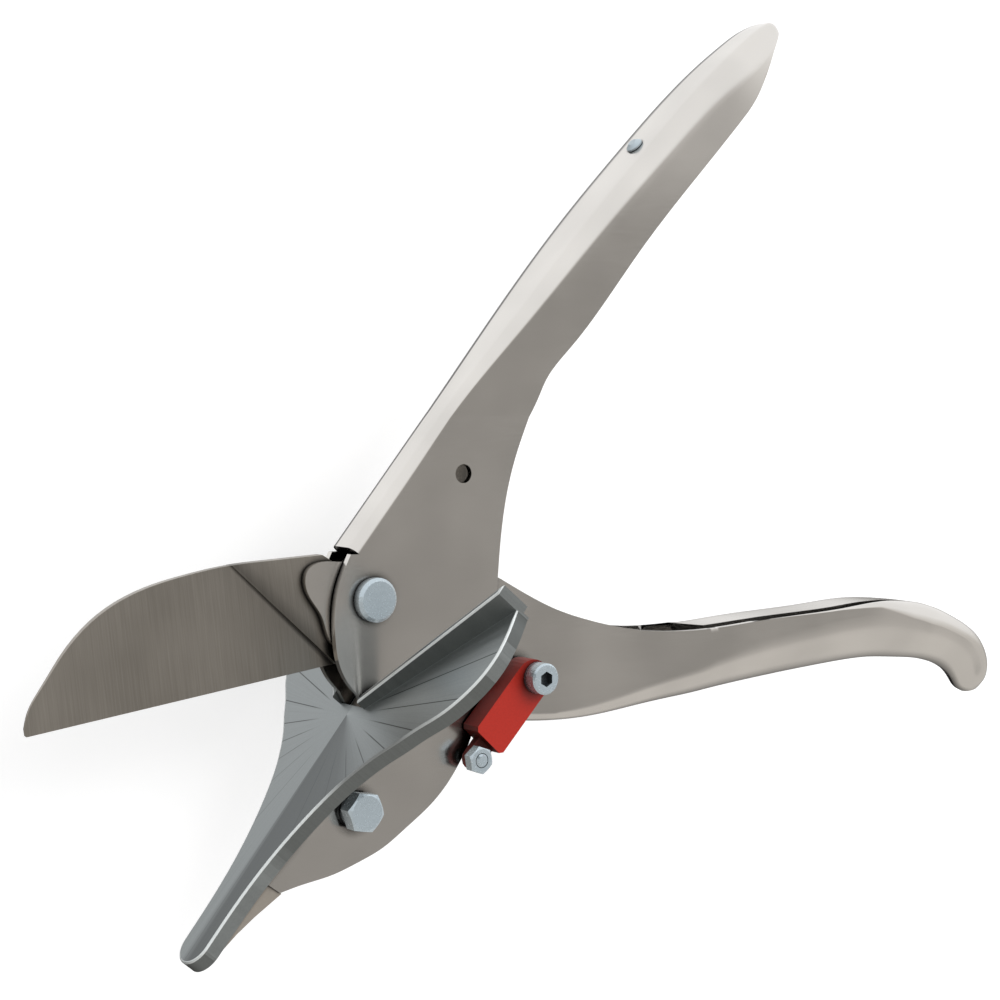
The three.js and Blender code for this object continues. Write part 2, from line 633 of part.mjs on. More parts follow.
function latchLever() {
  const along = direction(latchHeading);
  const across = new THREE.Vector2(-along.y, along.x);
  const w = latchWidth / 2;
  const place = (run, side) => latchAxis.clone().addScaledVector(along, run).addScaledVector(across, side - latchOffset);
  const cut = edgeRound * 2;
  const bodyOutline = [
    ...Array.from({ length: 13 }, (_, i) => {
      const angle = (i / 12 - 0.5) * Math.PI;
      return place(w - latchCrown - w * Math.cos(angle), w * Math.sin(angle));
    }),
    place(latchBody - cut, w),
    place(latchBody, w - cut),
    place(latchBody, cut - w),
    place(latchBody - cut, -w),
  ];
  const body = plate(shapeOf(bodyOutline), latchLow, latchHigh);
  const toCatch = direction(catchHeading);
  const beside = new THREE.Vector2(-toCatch.y, toCatch.x);
  const t = tongueWidth / 2;
  const onTongue = (run, side) => latchAxis.clone().addScaledVector(toCatch, run).addScaledVector(beside, side);
  const tongueOutline = [
    onTongue(latchBody - w, t),
    onTongue(latchBody - w, -t),
    ...Array.from({ length: 9 }, (_, i) => {
      const angle = -Math.PI / 2 + (i / 8) * Math.PI;
      return onTongue(latchArm + t * Math.cos(angle), t * Math.sin(angle));
    }),
  ];
  const tongue = plate(shapeOf(tongueOutline), tongueLow, tongueHigh);
  return without(
    joined(body, tongue),
    pin(latchScrewDiameter + bearingClear, latchLow - overrun, latchHigh + overrun, latchAxis),
    pin(catchScrewDiameter + runClear, latchLow - overrun, latchHigh + overrun, catchPoint),
  );
}

const latchSpacer = () => ring(latchSpacerDiameter, latchScrewDiameter + runClear, innerHigh + seatClear, latchLow - seatClear, latchAxis);
const latchWasher = () => ring(capHeadDiameter, latchScrewDiameter + runClear, latchHigh + seatClear, latchHigh + seatClear + latchWasherThick, latchAxis);

function latchScrew() {
  const base = latchHigh + seatClear * 2 + latchWasherThick;
  const top = base + capHeadHeight;
  const r = capHeadDiameter / 2;
  const shank = latchScrewDiameter / 2;
  const tail = runClear - innerLow;
  const body = turnedBody(
    [[0, tail], [shank, tail], [shank, base], [r, base], [r, top - edgeRound], [r - edgeRound, top], [0, top]],
    latchAxis,
  );
  return without(body, hexagon(capSocketFlats, top - capSocketDepth, top + overrun, latchAxis));
}

function catchScrew() {
  const tip = nearSeat + seatClear;
  const top = tongueHigh + seatClear + latchNutHeight + edgeRound;
  const shank = catchScrewDiameter / 2;
  return turnedBody([[0, tip], [shank - edgeRound, tip], [shank, tip + edgeRound], [shank, top - edgeRound], [shank - edgeRound, top], [0, top]], catchPoint);
}

const catchNut = () =>
  nut(catchNutFlats, catchScrewDiameter + runClear, tongueHigh + seatClear, tongueHigh + seatClear + latchNutHeight, catchPoint, radians(10));

const latchNut = () => {
  const half = innerLow - runClear;
  return without(hexagon(latchNutFlats, -half, half, latchAxis, radians(5)), pin(latchScrewDiameter + runClear, -overrun, overrun, latchAxis));
};

// Where the rivet stands on the web, and the web's direction there.
function rivetSeat() {
  const grip = upperStations().grip;
  const run = grip[5].back.clone().sub(grip[3].back).normalize();
  return { at: grip[4].back, inward: new THREE.Vector2(run.y, -run.x), run };
}

function onRivet(solid) {
  const { at, inward, run } = rivetSeat();
  const place = new THREE.Matrix4().makeBasis(
    new THREE.Vector3(run.x, run.y, 0),
    new THREE.Vector3(inward.x, inward.y, 0),
    new THREE.Vector3(0, 0, -1),
  );
  place.setPosition(at.x, at.y, 0);
  return solid.transform(place.elements);
}

function webRivet() {
  const shank = webRivetShank / 2;
  const head = webRivetDiameter / 2;
  const inside = sheet + springThick + seatClear * 4;
  const profile = [
    [0, -webRivetHeight - seatClear], [head / 2, -webRivetHeight - seatClear], [head, -webRivetHeight / 3 - seatClear],
    [head, -seatClear], [shank, -seatClear], [shank, inside], [head, inside], [head, inside + webRivetHeight / 2],
    [head / 2, inside + webRivetHeight], [0, inside + webRivetHeight],
  ];
  return onRivet(solidOf(new THREE.LatheGeometry(profile.map(([r, y]) => new THREE.Vector2(r, y)), 20)));
}

// A bent leaf: it lies on the web at the rivet and leaves it towards the pivot.
function returnSpring() {
  const seat = sheet + seatClear * 2;
  const length = springShares[springShares.length - 1][0] * upperGrip;
  const line = new THREE.SplineCurve(springShares.map(([x, y]) => new THREE.Vector2(-x * upperGrip, seat + y * upperGrip))).getPoints(24);
  const outline = [...line, ...line.map((p) => new THREE.Vector2(p.x, p.y + springThick)).reverse()];
  const strip = plate(shapeOf(outline), -springWidth / 2, springWidth / 2);
  const bore = new THREE.CylinderGeometry(webRivetShank / 2 + seatClear, webRivetShank / 2 + seatClear, length, 20);
  return onRivet(strip.subtract(solidOf(bore)));
}

// Assembly

const pieces = [
  ["anvil_lever", anvilLever(), nickel],
  ["blade_lever", bladeLever(), nickel],
  ["blade", blade(), groundSteel],
  ["anvil", anvil(), zincCasting],
  ["pivot_bolt", pivotBolt(), zincPlate],
  ["pivot_bush", pivotBush(), bronze],
  ["pivot_washer", pivotWasher(), zincPlate],
  ["pivot_nut", pivotNut(), zincPlate],
  ["blade_rivet", bladeRivet(), zincPlate],
  ["anvil_bolt", anvilBolt(), zincPlate],
  ["anvil_spring_washer", springWasher(), zincPlate],
  ["anvil_washer", anvilWasher(), zincPlate],
  ["anvil_nut", anvilNut(), zincPlate],
  ["anvil_pin", anvilPin(), zincPlate],
  ["latch_lever", latchLever(), redPlastic],
  ["latch_spacer", latchSpacer(), zincPlate],
  ["latch_washer", latchWasher(), zincPlate],
  ["latch_screw", latchScrew(), zincPlate],
  ["catch_screw", catchScrew(), zincPlate],
  ["catch_nut", catchNut(), zincPlate],
  ["latch_nut", latchNut(), zincPlate],
  ["return_spring", returnSpring(), groundSteel],
  ["spring_rivet", webRivet(), zincPlate],
];

const snips = new THREE.Group();
for (const [name, solid, material] of pieces) {
  const mesh = new THREE.Mesh(geometryOf(solid), material);
  mesh.name = name;
  snips.add(mesh);
}
const box = new THREE.Box3().setFromObject(snips);
const centre = box.getCenter(new THREE.Vector3());
snips.position.set(-centre.x, -centre.y, -box.min.z);

export default snips;
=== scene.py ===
"""Trim snips: folded nickel-plated levers, a ground blade, a cast mitre anvil and a red safety latch."""

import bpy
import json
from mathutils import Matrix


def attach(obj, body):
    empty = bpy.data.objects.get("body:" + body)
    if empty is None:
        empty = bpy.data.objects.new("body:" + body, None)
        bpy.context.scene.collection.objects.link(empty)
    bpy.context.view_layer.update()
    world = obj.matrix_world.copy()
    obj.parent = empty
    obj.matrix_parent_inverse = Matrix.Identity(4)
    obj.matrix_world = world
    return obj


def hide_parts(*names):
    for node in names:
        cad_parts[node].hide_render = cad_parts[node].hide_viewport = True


bl_info = {
    "name": "Trim snips",
    "version": (1, 0, 0),
    "blender": (4, 5, 0),
    "location": "3D View > Sidebar > Snips",
    "description": "Dresses a pair of trim snips with steel, zinc and moulded plastic",
    "category": "Object",
}

import json
import math

import bmesh
import bpy
import numpy as np
from bpy.props import FloatProperty, FloatVectorProperty, PointerProperty
from mathutils import Matrix, Vector

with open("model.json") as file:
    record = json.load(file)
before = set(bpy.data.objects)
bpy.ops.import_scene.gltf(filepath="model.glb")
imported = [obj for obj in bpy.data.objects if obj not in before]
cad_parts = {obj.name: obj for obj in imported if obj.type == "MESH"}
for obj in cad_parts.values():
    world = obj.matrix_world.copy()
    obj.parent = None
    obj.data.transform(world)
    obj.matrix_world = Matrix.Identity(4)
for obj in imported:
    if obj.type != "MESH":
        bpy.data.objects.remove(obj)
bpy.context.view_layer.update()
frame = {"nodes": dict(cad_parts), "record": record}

JOINTS = {joint["name"]: joint for joint in frame["record"]["behaviour"]["joints"]}
MOUNTS = {mount["name"]: Vector(mount["pos_m"]) for mount in frame["record"]["mounts"]}
PIVOT = Vector(JOINTS["blade_lever_pivot"]["pos_m"])
# The anvil's table runs from the fences' apex to the nose, and its mount lies on it, this far from the apex.
TABLE_ANGLE = math.radians(-129.7)
MOUNT_REACH = 0.03
TABLE_RUN = Vector((math.cos(TABLE_ANGLE), math.sin(TABLE_ANGLE), 0.0))
TABLE_UP = Vector((TABLE_RUN.y, -TABLE_RUN.x, 0.0))
APEX = MOUNTS["anvil_table"] - TABLE_RUN * MOUNT_REACH
# The cutting edge meets the table when the levers close.
OPEN_ANGLE = math.radians(JOINTS["blade_lever_pivot"]["range_deg"][1])
EDGE_ANGLE = TABLE_ANGLE - OPEN_ANGLE


# Sizes and colours that a user may change


def linear(text):
    """An sRGB hex colour as the linear values that a socket takes."""
    channels = [int(text[i:i + 2], 16) / 255 for i in (1, 3, 5)]
    return [c / 12.92 if c <= 0.04045 else ((c + 0.055) / 1.055) ** 2.4 for c in channels] + [1.0]


def colour(name, text, description):
    return FloatVectorProperty(
        name=name, description=description, subtype="COLOR", size=4, min=0.0, max=1.0, default=linear(text)
    )


def measure(name, value, description, unit="NONE"):
    return FloatProperty(name=name, description=description, unit=unit, default=value)


def length(name, millimetres, description):
    return measure(name, millimetres / 1000, description, "LENGTH")


class FinishSettings(bpy.types.PropertyGroup):
    """Colours and grain of the surfaces."""

    nickel: colour("Nickel plate", "#D2CFCB", "Plating of both levers")
    blade: colour("Ground steel", "#9E9992", "Blade and leaf spring")
    casting: colour("Zinc casting", "#959A9B", "Anvil, its faces")
    # The raised edges' colour is worn zinc with a painted highlight.
    casting_rim_highlight: colour("Rubbed zinc", "#E3E8E8", "Anvil, its raised edges")
    casting_rib: colour("Plain casting", "#A7A097", "Anvil, its ribs below the table")
    zinc: colour("Zinc plate", "#BECBD3", "Bolts, nuts and washers")
    bronze: colour("Bearing bronze", "#9A6B3C", "Pivot bush")
    latch: colour("Latch red", "#AE200E", "Moulded latch")
    grind_spacing: length("Grind spacing", 0.35, "Distance between the blade's grinding lines")
    brush_spacing: length("Brush spacing", 0.5, "Distance between the brush marks on the anvil")
    rim_width: length("Rubbed rim", 0.45, "Width of the anvil's rubbed edges")
    edge_break: length("Sheet edge", 0.22, "Rounding of the levers' cut edges")


class StageSettings(bpy.types.PropertyGroup):
    """Camera, paper and lamps."""

    azimuth: measure("Azimuth", math.radians(35.0), "Camera's turn from the plates' normal", "ROTATION")
    elevation: measure("Elevation", math.radians(4.0), "Camera's height over the plates' normal", "ROTATION")
    distance: length("Distance", 559.1, "Camera to the pivot's plane")
    lens: measure("Lens", 93.6, "Focal length", "CAMERA")
    paper: colour("Paper", "#BEBEBE", "Floor below the snips")
    glow: measure("Paper glow", 0.64, "Brightness that the camera sees beside the floor's own light")
    key: measure("Key lamp", 3.6, "Power of the lamp over the snips", "POWER")
    fill: measure("Fill lamp", 1.4, "Power of the lamp at the lower handle", "POWER")
    room: measure("Room", 1.0, "Brightness of the light side, as matt surfaces get it")
    wall: measure("Grey wall", 0.38, "Brightness of the wall that the plates mirror")
    side: measure("Side wall", 0.74, "Brightness beside the grey wall, mirrored in the folds")
    light: measure("Light side", 1.15, "Brightness that the handles' backs mirror")


# Node trees

# Sockets of a Mix node: its two inputs and its output, for colours and for numbers
COLOUR_A, COLOUR_B, COLOUR_OUT = 6, 7, 2
NUMBER_A, NUMBER_B, NUMBER_OUT = 2, 3, 0
MULTIPLY = {"data_type": "RGBA", "blend_type": "MULTIPLY", 0: 1.0}
ALL_ROUND = {"From Min": -math.pi, "From Max": math.pi}


def fill_ramp(elements, stops):
    """Gives a colour ramp its (place, colour) stops. A plain number is a grey."""
    while len(elements) < len(stops):
        elements.new(0.5)
    for element, (place, value) in zip(elements, stops):
        element.position = place
        element.color = value if isinstance(value, list) else (value, value, value, 1.0)


def add(tree, kind, settings=None, links=None):
    """Adds a node. Settings are attributes, inputs or a ramp's stops, links are input to (node, output)."""
    node = tree.nodes.new("ShaderNode" + kind)
    for key, value in (settings or {}).items():
        if key == "stops":
            fill_ramp(node.color_ramp.elements, value)
        elif isinstance(key, str) and hasattr(node, key):
            setattr(node, key, value)
        else:
            node.inputs[key].default_value = value
    for key, (source, output) in (links or {}).items():
        tree.links.new(source.outputs[output], node.inputs[key])
    return node


def blank_material(name):
    material = bpy.data.materials.new(name)
    material.use_nodes = True
    material.node_tree.nodes.clear()
    return material, material.node_tree


def shade(value, factor):
    return [min(c * factor, 1.0) for c in value[:3]] + [1.0]


def paint_crease_shade(tree, tint, output, size, dark, bare=0.85):
    """Paints shade into a colour: darker in creases and near other parts up to this size, where ambient
    occlusion is low.
    """
    crease = add(tree, "AmbientOcclusion", {"samples": 8, "Distance": size})
    crease_shade = add(tree, "ValToRGB", {"stops": [(0.5, dark), (bare, 1.0)]}, {"Fac": (crease, "AO")})
    return add(tree, "Mix", MULTIPLY, {COLOUR_A: (tint, output), COLOUR_B: (crease_shade, "Color")})


def bright_nickel_plate(finish):
    """Nickel on rolled steel sheet: a warm grey mirror, slightly wavy, with a haze of fine rub marks."""
    material, tree = blank_material("bright_nickel_plate")
    at = {"Vector": (add(tree, "TexCoord"), "Object")}
    # Sheet isn't truly flat: its plating shows swells some 15 mm long.
    swell = add(tree, "TexNoise", {"Scale": 1 / 0.015, "Detail": 1.0}, at)
    # Rub marks from packing, 0.4 mm apart and 6 mm long, drawn coarser than the real ones to show.
    mark_size = {"Scale": (1 / 0.006, 1 / 0.0004, 1 / 0.006), "Rotation": (0, 0, -0.7)}
    turned = {"Vector": (add(tree, "Mapping", mark_size, at), "Vector")}
    rubs = add(tree, "TexNoise", {"Scale": 1.0, "Detail": 3.0, "Roughness": 0.6}, turned)
    gloss = add(tree, "ValToRGB", {"stops": [(0.3, 0.16), (0.75, 0.22)]}, {"Fac": (rubs, "Fac")})
    waves = [(0.3, shade(finish.nickel, 0.94)), (0.7, shade(finish.nickel, 1.04))]
    tint = add(tree, "ValToRGB", {"stops": waves}, {"Fac": (swell, "Fac")})
    low = add(tree, "Bump", {"Strength": 0.05, "Distance": 0.0004}, {"Height": (swell, "Fac")})
    both = {"Height": (rubs, "Fac"), "Normal": (low, "Normal")}
    fine = add(tree, "Bump", {"Strength": 0.015, "Distance": 0.00003}, both)
    # Painted shade: faces that tilt down, the far sides of the folds, are darkened almost to black, standing
    # in for the dark they mirror; faces that look straight down keep their colour.
    shape = add(tree, "NewGeometry")
    facing = add(tree, "SeparateXYZ", links={0: (shape, "Normal")})
    down = add(tree, "MapRange", {"From Min": -1.0, "From Max": 1.0}, {"Value": (facing, "Z")})
    underside_shade_stops = [(0.02, 1.0), (0.1, 0.05), (0.475, 0.05), (0.492, 1.0)]
    painted_underside_shade = add(tree, "ValToRGB", {"stops": underside_shade_stops}, {"Fac": (down, "Result")})
    underside_shaded = add(tree, "Mix", MULTIPLY, {COLOUR_A: (tint, "Color"), COLOUR_B: (painted_underside_shade, "Color")})
    # Painted shade in creases and beside other parts up to 4 mm, almost black.
    plate = paint_crease_shade(tree, underside_shaded, COLOUR_OUT, 0.004, 0.04)
    links = {"Base Color": (plate, COLOUR_OUT), "Roughness": (gloss, "Color"), "Normal": (fine, "Normal")}
    shader = add(tree, "BsdfPrincipled", {"Metallic": 1.0}, links)
    add(tree, "OutputMaterial", links={"Surface": (shader, "BSDF")})
    return material


def surface_ground_steel(finish):
    """Tool steel ground across the edge: a satin grey with fine parallel lines."""
    material, tree = blank_material("surface_ground_steel")
    at = {"Vector": (add(tree, "TexCoord"), "Object")}
    # Grinding lines 20 mm long.
    size = (finish.grind_spacing, 0.02, 0.02)
    line_size = {"vector_type": "TEXTURE", "Rotation": (0, 0, EDGE_ANGLE), "Scale": size}
    turned = {"Vector": (add(tree, "Mapping", line_size, at), "Vector")}
    lines = add(tree, "TexNoise", {"Scale": 1.0, "Detail": 4.0, "Roughness": 0.65}, turned)
    # The polish varies in clouds 20 mm across.
    cloud = add(tree, "TexNoise", {"Scale": 1 / 0.02, "Detail": 2.0}, at)
    streaks = [(0.3, shade(finish.blade, 0.88)), (0.7, shade(finish.blade, 1.07))]
    tint = add(tree, "ValToRGB", {"stops": streaks}, {"Fac": (lines, "Fac")})
    # The bevel starts on a slanting line. Painted shade: the steel is darker beside the line, standing in for
    # the shade where the grind curves, and slightly lighter further off on one side.
    start = PIVOT + Vector((-32.1, 8.0, 0.0)) / 1000
    slant = math.radians(227.2)
    line_place = {"vector_type": "TEXTURE", "Location": start, "Rotation": (0, 0, slant)}
    away = add(tree, "Mapping", line_place, at)
    beside = add(tree, "SeparateXYZ", links={0: (away, "Vector")})
    reach = add(tree, "MapRange", {"From Min": -0.02, "From Max": 0.02}, {"Value": (beside, "X")})
    marks = [(0.3, 1.05), (0.41, 0.85), (0.475, 0.5), (0.495, 0.55), (0.505, 0.86), (0.6, 0.92), (0.8, 1.0)]
    grind_line_shade = add(tree, "ValToRGB", {"stops": marks}, {"Fac": (reach, "Result")})
    ground = add(tree, "Mix", MULTIPLY, {COLOUR_A: (tint, "Color"), COLOUR_B: (grind_line_shade, "Color")})
    gloss = add(tree, "ValToRGB", {"stops": [(0.3, 0.3), (0.7, 0.42)]}, {"Fac": (cloud, "Fac")})
    bump = add(tree, "Bump", {"Strength": 0.12, "Distance": 0.00005}, {"Height": (lines, "Fac")})
    # Painted shade in creases and beside other parts up to 2.5 mm.
    crease_shaded = paint_crease_shade(tree, ground, COLOUR_OUT, 0.0025, 0.06)
    links = {"Base Color": (crease_shaded, COLOUR_OUT), "Roughness": (gloss, "Color"), "Normal": (bump, "Normal")}
    shader = add(tree, "BsdfPrincipled", {"Metallic": 1.0}, links)
    add(tree, "OutputMaterial", links={"Surface": (shader, "BSDF")})
    return material


def about_apex(tree, at):
    """Place in the table's frame, its parts, the bearing round the apex, and that as a share of a turn."""
    table_frame = {"vector_type": "TEXTURE", "Location": APEX, "Rotation": (0, 0, TABLE_ANGLE)}
    local = add(tree, "Mapping", table_frame, at)
    axes = add(tree, "SeparateXYZ", links={0: (local, "Vector")})
    bearing = add(tree, "Math", {"operation": "ARCTAN2"}, {0: (axes, "Z"), 1: (axes, "X")})
    turn = add(tree, "MapRange", ALL_ROUND, {"Value": (bearing, "Value")})
    return local, axes, bearing, turn


def table_marks(tree, face, bearing, reach):
    """How deep the scribed angle marks are: 15 degrees apart, on the table only and clear of the apex."""
    step = {"operation": "DIVIDE", 1: math.radians(15.0)}
    turns = add(tree, "Math", step, {0: (bearing, "Value")})
    near = add(tree, "Math", {"operation": "PINGPONG", 1: 0.5}, {0: (turns, "Value")})
    aside = add(tree, "Math", {"operation": "MULTIPLY"}, {0: (near, "Value"), 1: (reach, "Value")})
    narrow = {"From Min": 0.0003, "From Max": 0.0006, "To Min": 1.0, "To Max": 0.0}
    scribed = add(tree, "MapRange", narrow, {"Value": (aside, "Value")})
    past_apex = {"From Min": 0.009, "From Max": 0.014}
    clear = add(tree, "MapRange", past_apex, {"Value": (reach, "Value")})
    lines = add(tree, "Math", {"operation": "MULTIPLY"}, {0: (scribed, "Result"), 1: (clear, "Result")})
    shown = add(tree, "Math", {"operation": "MULTIPLY"}, {0: (lines, "Value"), 1: (face, "Value")})
    # They are worn beside the centre line and crisp toward the wings.
    width = add(tree, "Math", {"operation": "ABSOLUTE"}, {0: (bearing, "Value")})
    less_worn = {"From Min": 0.5, "From Max": 1.3, "To Min": 0.3, "To Max": 0.85}
    wear = add(tree, "MapRange", less_worn, {"Value": (width, "Value")})
    return add(tree, "Math", {"operation": "MULTIPLY"}, {0: (shown, "Value"), 1: (wear, "Result")})


def brushed_zinc_casting(finish):
    """Die-cast zinc, tumbled and brushed: a dull blue grey with marks that fan out from the apex."""
    material, tree = blank_material("brushed_zinc_casting")
    at = {"Vector": (add(tree, "TexCoord"), "Object")}
    local, axes, bearing, turn = about_apex(tree, at)
    reach = add(tree, "VectorMath", {"operation": "LENGTH"}, {0: (local, "Vector")})
    # The brush marks keep their spacing 30 mm from the apex, and are as long.
    span = 0.03
    spacing = {"operation": "MULTIPLY", 1: span / finish.brush_spacing}
    around = add(tree, "Math", spacing, {0: (bearing, "Value")})
    along = add(tree, "Math", {"operation": "MULTIPLY", 1: 1 / span}, {0: (reach, "Value")})
    fan = {"Vector": (add(tree, "CombineXYZ", links={0: (around, "Value"), 1: (along, "Value")}), "Vector")}
    marks = add(tree, "TexNoise", {"Scale": 1.0, "Detail": 3.0, "Roughness": 0.6}, fan)
    # Grain of the tumbled casting, 0.4 mm.
    grain = add(tree, "TexNoise", {"Scale": 1 / 0.0004, "Detail": 2.0}, at)
    parts = {NUMBER_A: (marks, "Fac"), NUMBER_B: (grain, "Fac")}
    both = add(tree, "Mix", {"data_type": "FLOAT", 0: 0.35}, parts)
    streaks = [(0.3, shade(finish.casting, 0.88)), (0.7, shade(finish.casting, 1.12))]
    metal = add(tree, "ValToRGB", {"stops": streaks}, {"Fac": (both, NUMBER_OUT)})
    # Painted shade and light: the table is darker beside the centre line on the near side and brighter at
    # the wings and on the far side, standing in for what each part of it mirrors.
    sector_light_stops = [(0.3, 0.86), (0.497, 0.84), (0.503, 0.4), (0.6, 0.46), (0.68, 0.84), (0.8, 1.02)]
    sector_light = add(tree, "ValToRGB", {"stops": sector_light_stops}, {"Fac": (turn, "Result")})
    level = add(tree, "Math", {"operation": "ABSOLUTE"}, {0: (axes, "Y")})
    face = add(tree, "Math", {"operation": "LESS_THAN", 1: 0.00005}, {0: (level, "Value")})
    # Painted shade: off the table, faces that don't look straight up are darkened to about half; the wings'
    # end faces, which do, keep the full colour.
    shape = add(tree, "NewGeometry")
    facing = add(tree, "SeparateXYZ", links={0: (shape, "True Normal")})
    sides = [(0.97, [0.55, 0.55, 0.54, 1.0]), (0.99, 1.0)]
    ends = add(tree, "ValToRGB", {"stops": sides}, {"Fac": (facing, "Z")})
    by_face = {0: (face, "Value"), COLOUR_A: (ends, "Color"), COLOUR_B: (sector_light, "Color")}
    painted_light_by_face = add(tree, "Mix", {"data_type": "RGBA"}, by_face)
    plane = add(tree, "Mix", MULTIPLY, {COLOUR_A: (metal, "Color"), COLOUR_B: (painted_light_by_face, COLOUR_OUT)})
    cut = table_marks(tree, face, bearing, reach)
    dark = {"data_type": "RGBA", COLOUR_B: shade(finish.casting, 0.16)}
    tint = add(tree, "Mix", dark, {0: (cut, "Value"), COLOUR_A: (plane, COLOUR_OUT)})
    gloss = add(tree, "ValToRGB", {"stops": [(0.3, 0.34), (0.7, 0.48)]}, {"Fac": (both, NUMBER_OUT)})
    bump = add(tree, "Bump", {"Strength": 0.2, "Distance": 0.00006}, {"Height": (both, NUMBER_OUT)})
    links = {"Base Color": (tint, COLOUR_OUT), "Roughness": (gloss, "Color"), "Normal": (bump, "Normal")}
    shader = add(tree, "BsdfPrincipled", {"Metallic": 1.0}, links)
    add(tree, "OutputMaterial", links={"Surface": (shader, "BSDF")})
    return material


def rubbed_zinc_edge(finish):
    """The casting's raised edges: worn, with a painted highlight that is bright at the nose and wings and
    duller between them.
    """
    material, tree = blank_material("rubbed_zinc_edge")
    at = {"Vector": (add(tree, "TexCoord"), "Object")}
    # Scratches of 0.8 mm.
    grain = add(tree, "TexNoise", {"Scale": 1 / 0.0008, "Detail": 2.0}, at)
    scratches = [(0.3, shade(finish.casting_rim_highlight, 0.95)), (0.7, shade(finish.casting_rim_highlight, 1.02))]
    metal = add(tree, "ValToRGB", {"stops": scratches}, {"Fac": (grain, "Fac")})
    turn = about_apex(tree, at)[3]
    highlight_stops = [(0.56, 1.0), (0.62, 0.36), (0.73, 0.36), (0.785, 1.0)]
    wear_and_highlight = add(tree, "ValToRGB", {"stops": highlight_stops}, {"Fac": (turn, "Result")})
    tint = add(tree, "Mix", MULTIPLY, {COLOUR_A: (metal, "Color"), COLOUR_B: (wear_and_highlight, "Color")})
    # Half metallic, so that the painted highlight shows whatever the edge mirrors.
    gloss = {"Metallic": 0.45, "Roughness": 0.35}
    shader = add(tree, "BsdfPrincipled", gloss, {"Base Color": (tint, COLOUR_OUT)})
    add(tree, "OutputMaterial", links={"Surface": (shader, "BSDF")})
    return material


def metal_with_grain(name, base, rough, grain_size, depth, metallic=1.0, dark=0.12):
    """A plated, cast or turned metal with a fine even grain, and painted shade in its creases up to 3 mm."""
    material, tree = blank_material(name)
    at = {"Vector": (add(tree, "TexCoord"), "Object")}
    grain = add(tree, "TexNoise", {"Scale": 1 / grain_size, "Detail": 2.0}, at)
    specks = [(0.3, shade(base, 0.97)), (0.7, shade(base, 1.02))]
    tint = add(tree, "ValToRGB", {"stops": specks}, {"Fac": (grain, "Fac")})
    polish = [(0.3, rough * 0.95), (0.7, rough * 1.08)]
    gloss = add(tree, "ValToRGB", {"stops": polish}, {"Fac": (grain, "Fac")})
    bump = add(tree, "Bump", {"Strength": 0.03, "Distance": depth}, {"Height": (grain, "Fac")})
    crease_shaded_specks = paint_crease_shade(tree, tint, "Color", 0.003, dark)
    links = {"Base Color": (crease_shaded_specks, COLOUR_OUT), "Roughness": (gloss, "Color"), "Normal": (bump, "Normal")}
    shader = add(tree, "BsdfPrincipled", {"Metallic": metallic}, links)
    add(tree, "OutputMaterial", links={"Surface": (shader, "BSDF")})
    return material


def moulded_red_nylon(finish):
    """Nylon from a spark-eroded mould: strong red, an even fine grain and a soft sheen."""
    material, tree = blank_material("moulded_red_nylon")
    at = {"Vector": (add(tree, "TexCoord"), "Object")}
    # Grain of the mould, 0.5 mm.
    grain = add(tree, "TexNoise", {"Scale": 1 / 0.0005, "Detail": 2.0}, at)
    specks = [(0.3, shade(finish.latch, 0.93)), (0.7, shade(finish.latch, 1.05))]
    tint = add(tree, "ValToRGB", {"stops": specks}, {"Fac": (grain, "Fac")})
    bump = add(tree, "Bump", {"Strength": 0.2, "Distance": 0.00004}, {"Height": (grain, "Fac")})
    # Painted shade: faces near other parts, up to 20 mm, are darkened, as the latch's side below the anvil's
    # wing.
    crease_shaded = paint_crease_shade(tree, tint, "Color", 0.02, 0.16, 0.95)
    sheen = {"IOR": 1.53, "Roughness": 0.45, "Specular IOR Level": 0.3}
    links = {"Base Color": (crease_shaded, COLOUR_OUT), "Normal": (bump, "Normal")}
    shader = add(tree, "BsdfPrincipled", sheen, links)
    add(tree, "OutputMaterial", links={"Surface": (shader, "BSDF")})
    return material


# Meshes


def smooth_rows(rows, steps):
    """Follows rows of numbers with a cubic spline, its knots as far apart as the rows' first points."""
    rows = np.array(rows, float)
    gaps = np.linalg.norm(np.diff(rows[:, :2], axis=0), axis=1)
    count = len(rows)
    system = np.eye(count)
    right = np.zeros_like(rows)
    slopes = np.diff(rows, axis=0) / gaps[:, None]
    for i in range(1, count - 1):
        system[i, i - 1:i + 2] = gaps[i - 1], 2 * (gaps[i - 1] + gaps[i]), gaps[i]
        right[i] = 6 * (slopes[i] - slopes[i - 1])
    bend = np.linalg.solve(system, right)
    result = []
    for i, gap in enumerate(gaps):
        for step in range(steps):
            a = step / steps
            b = 1 - a
            curve = ((b ** 3 - b) * bend[i] + (a ** 3 - a) * bend[i + 1]) * gap ** 2 / 6
            result.append(rows[i] * b + rows[i + 1] * a + curve)
    return result + [rows[-1]]


def folded_rows(rows, steps, flat_until=0):
    """Sections along a lever. Its lips run straight from row to row, and the first rows keep their width."""
    smooth = smooth_rows(rows, steps)
    for i, row in enumerate(smooth):
        knot = min(i // steps, len(rows) - 2)
        share = i / steps - knot
        for column in range(7, len(row)):
            row[column] = rows[knot][column] * (1 - share) + rows[knot + 1][column] * share
        if i <= flat_until:
            row[4:7] = rows[0][4:7]
    return smooth


def in_plates(x, y, z):
    """A point in the row frame from its millimetres about the pivot."""
    return PIVOT + Vector((x, y, z)) / 1000


# Steps of points across half of a channel: open edge, lip, side, fold and half of the web
EDGE_STEPS, LIP_STEPS, SIDE_STEPS, FOLD_STEPS, WEB_STEPS = 4, 6, 6, 8, 3


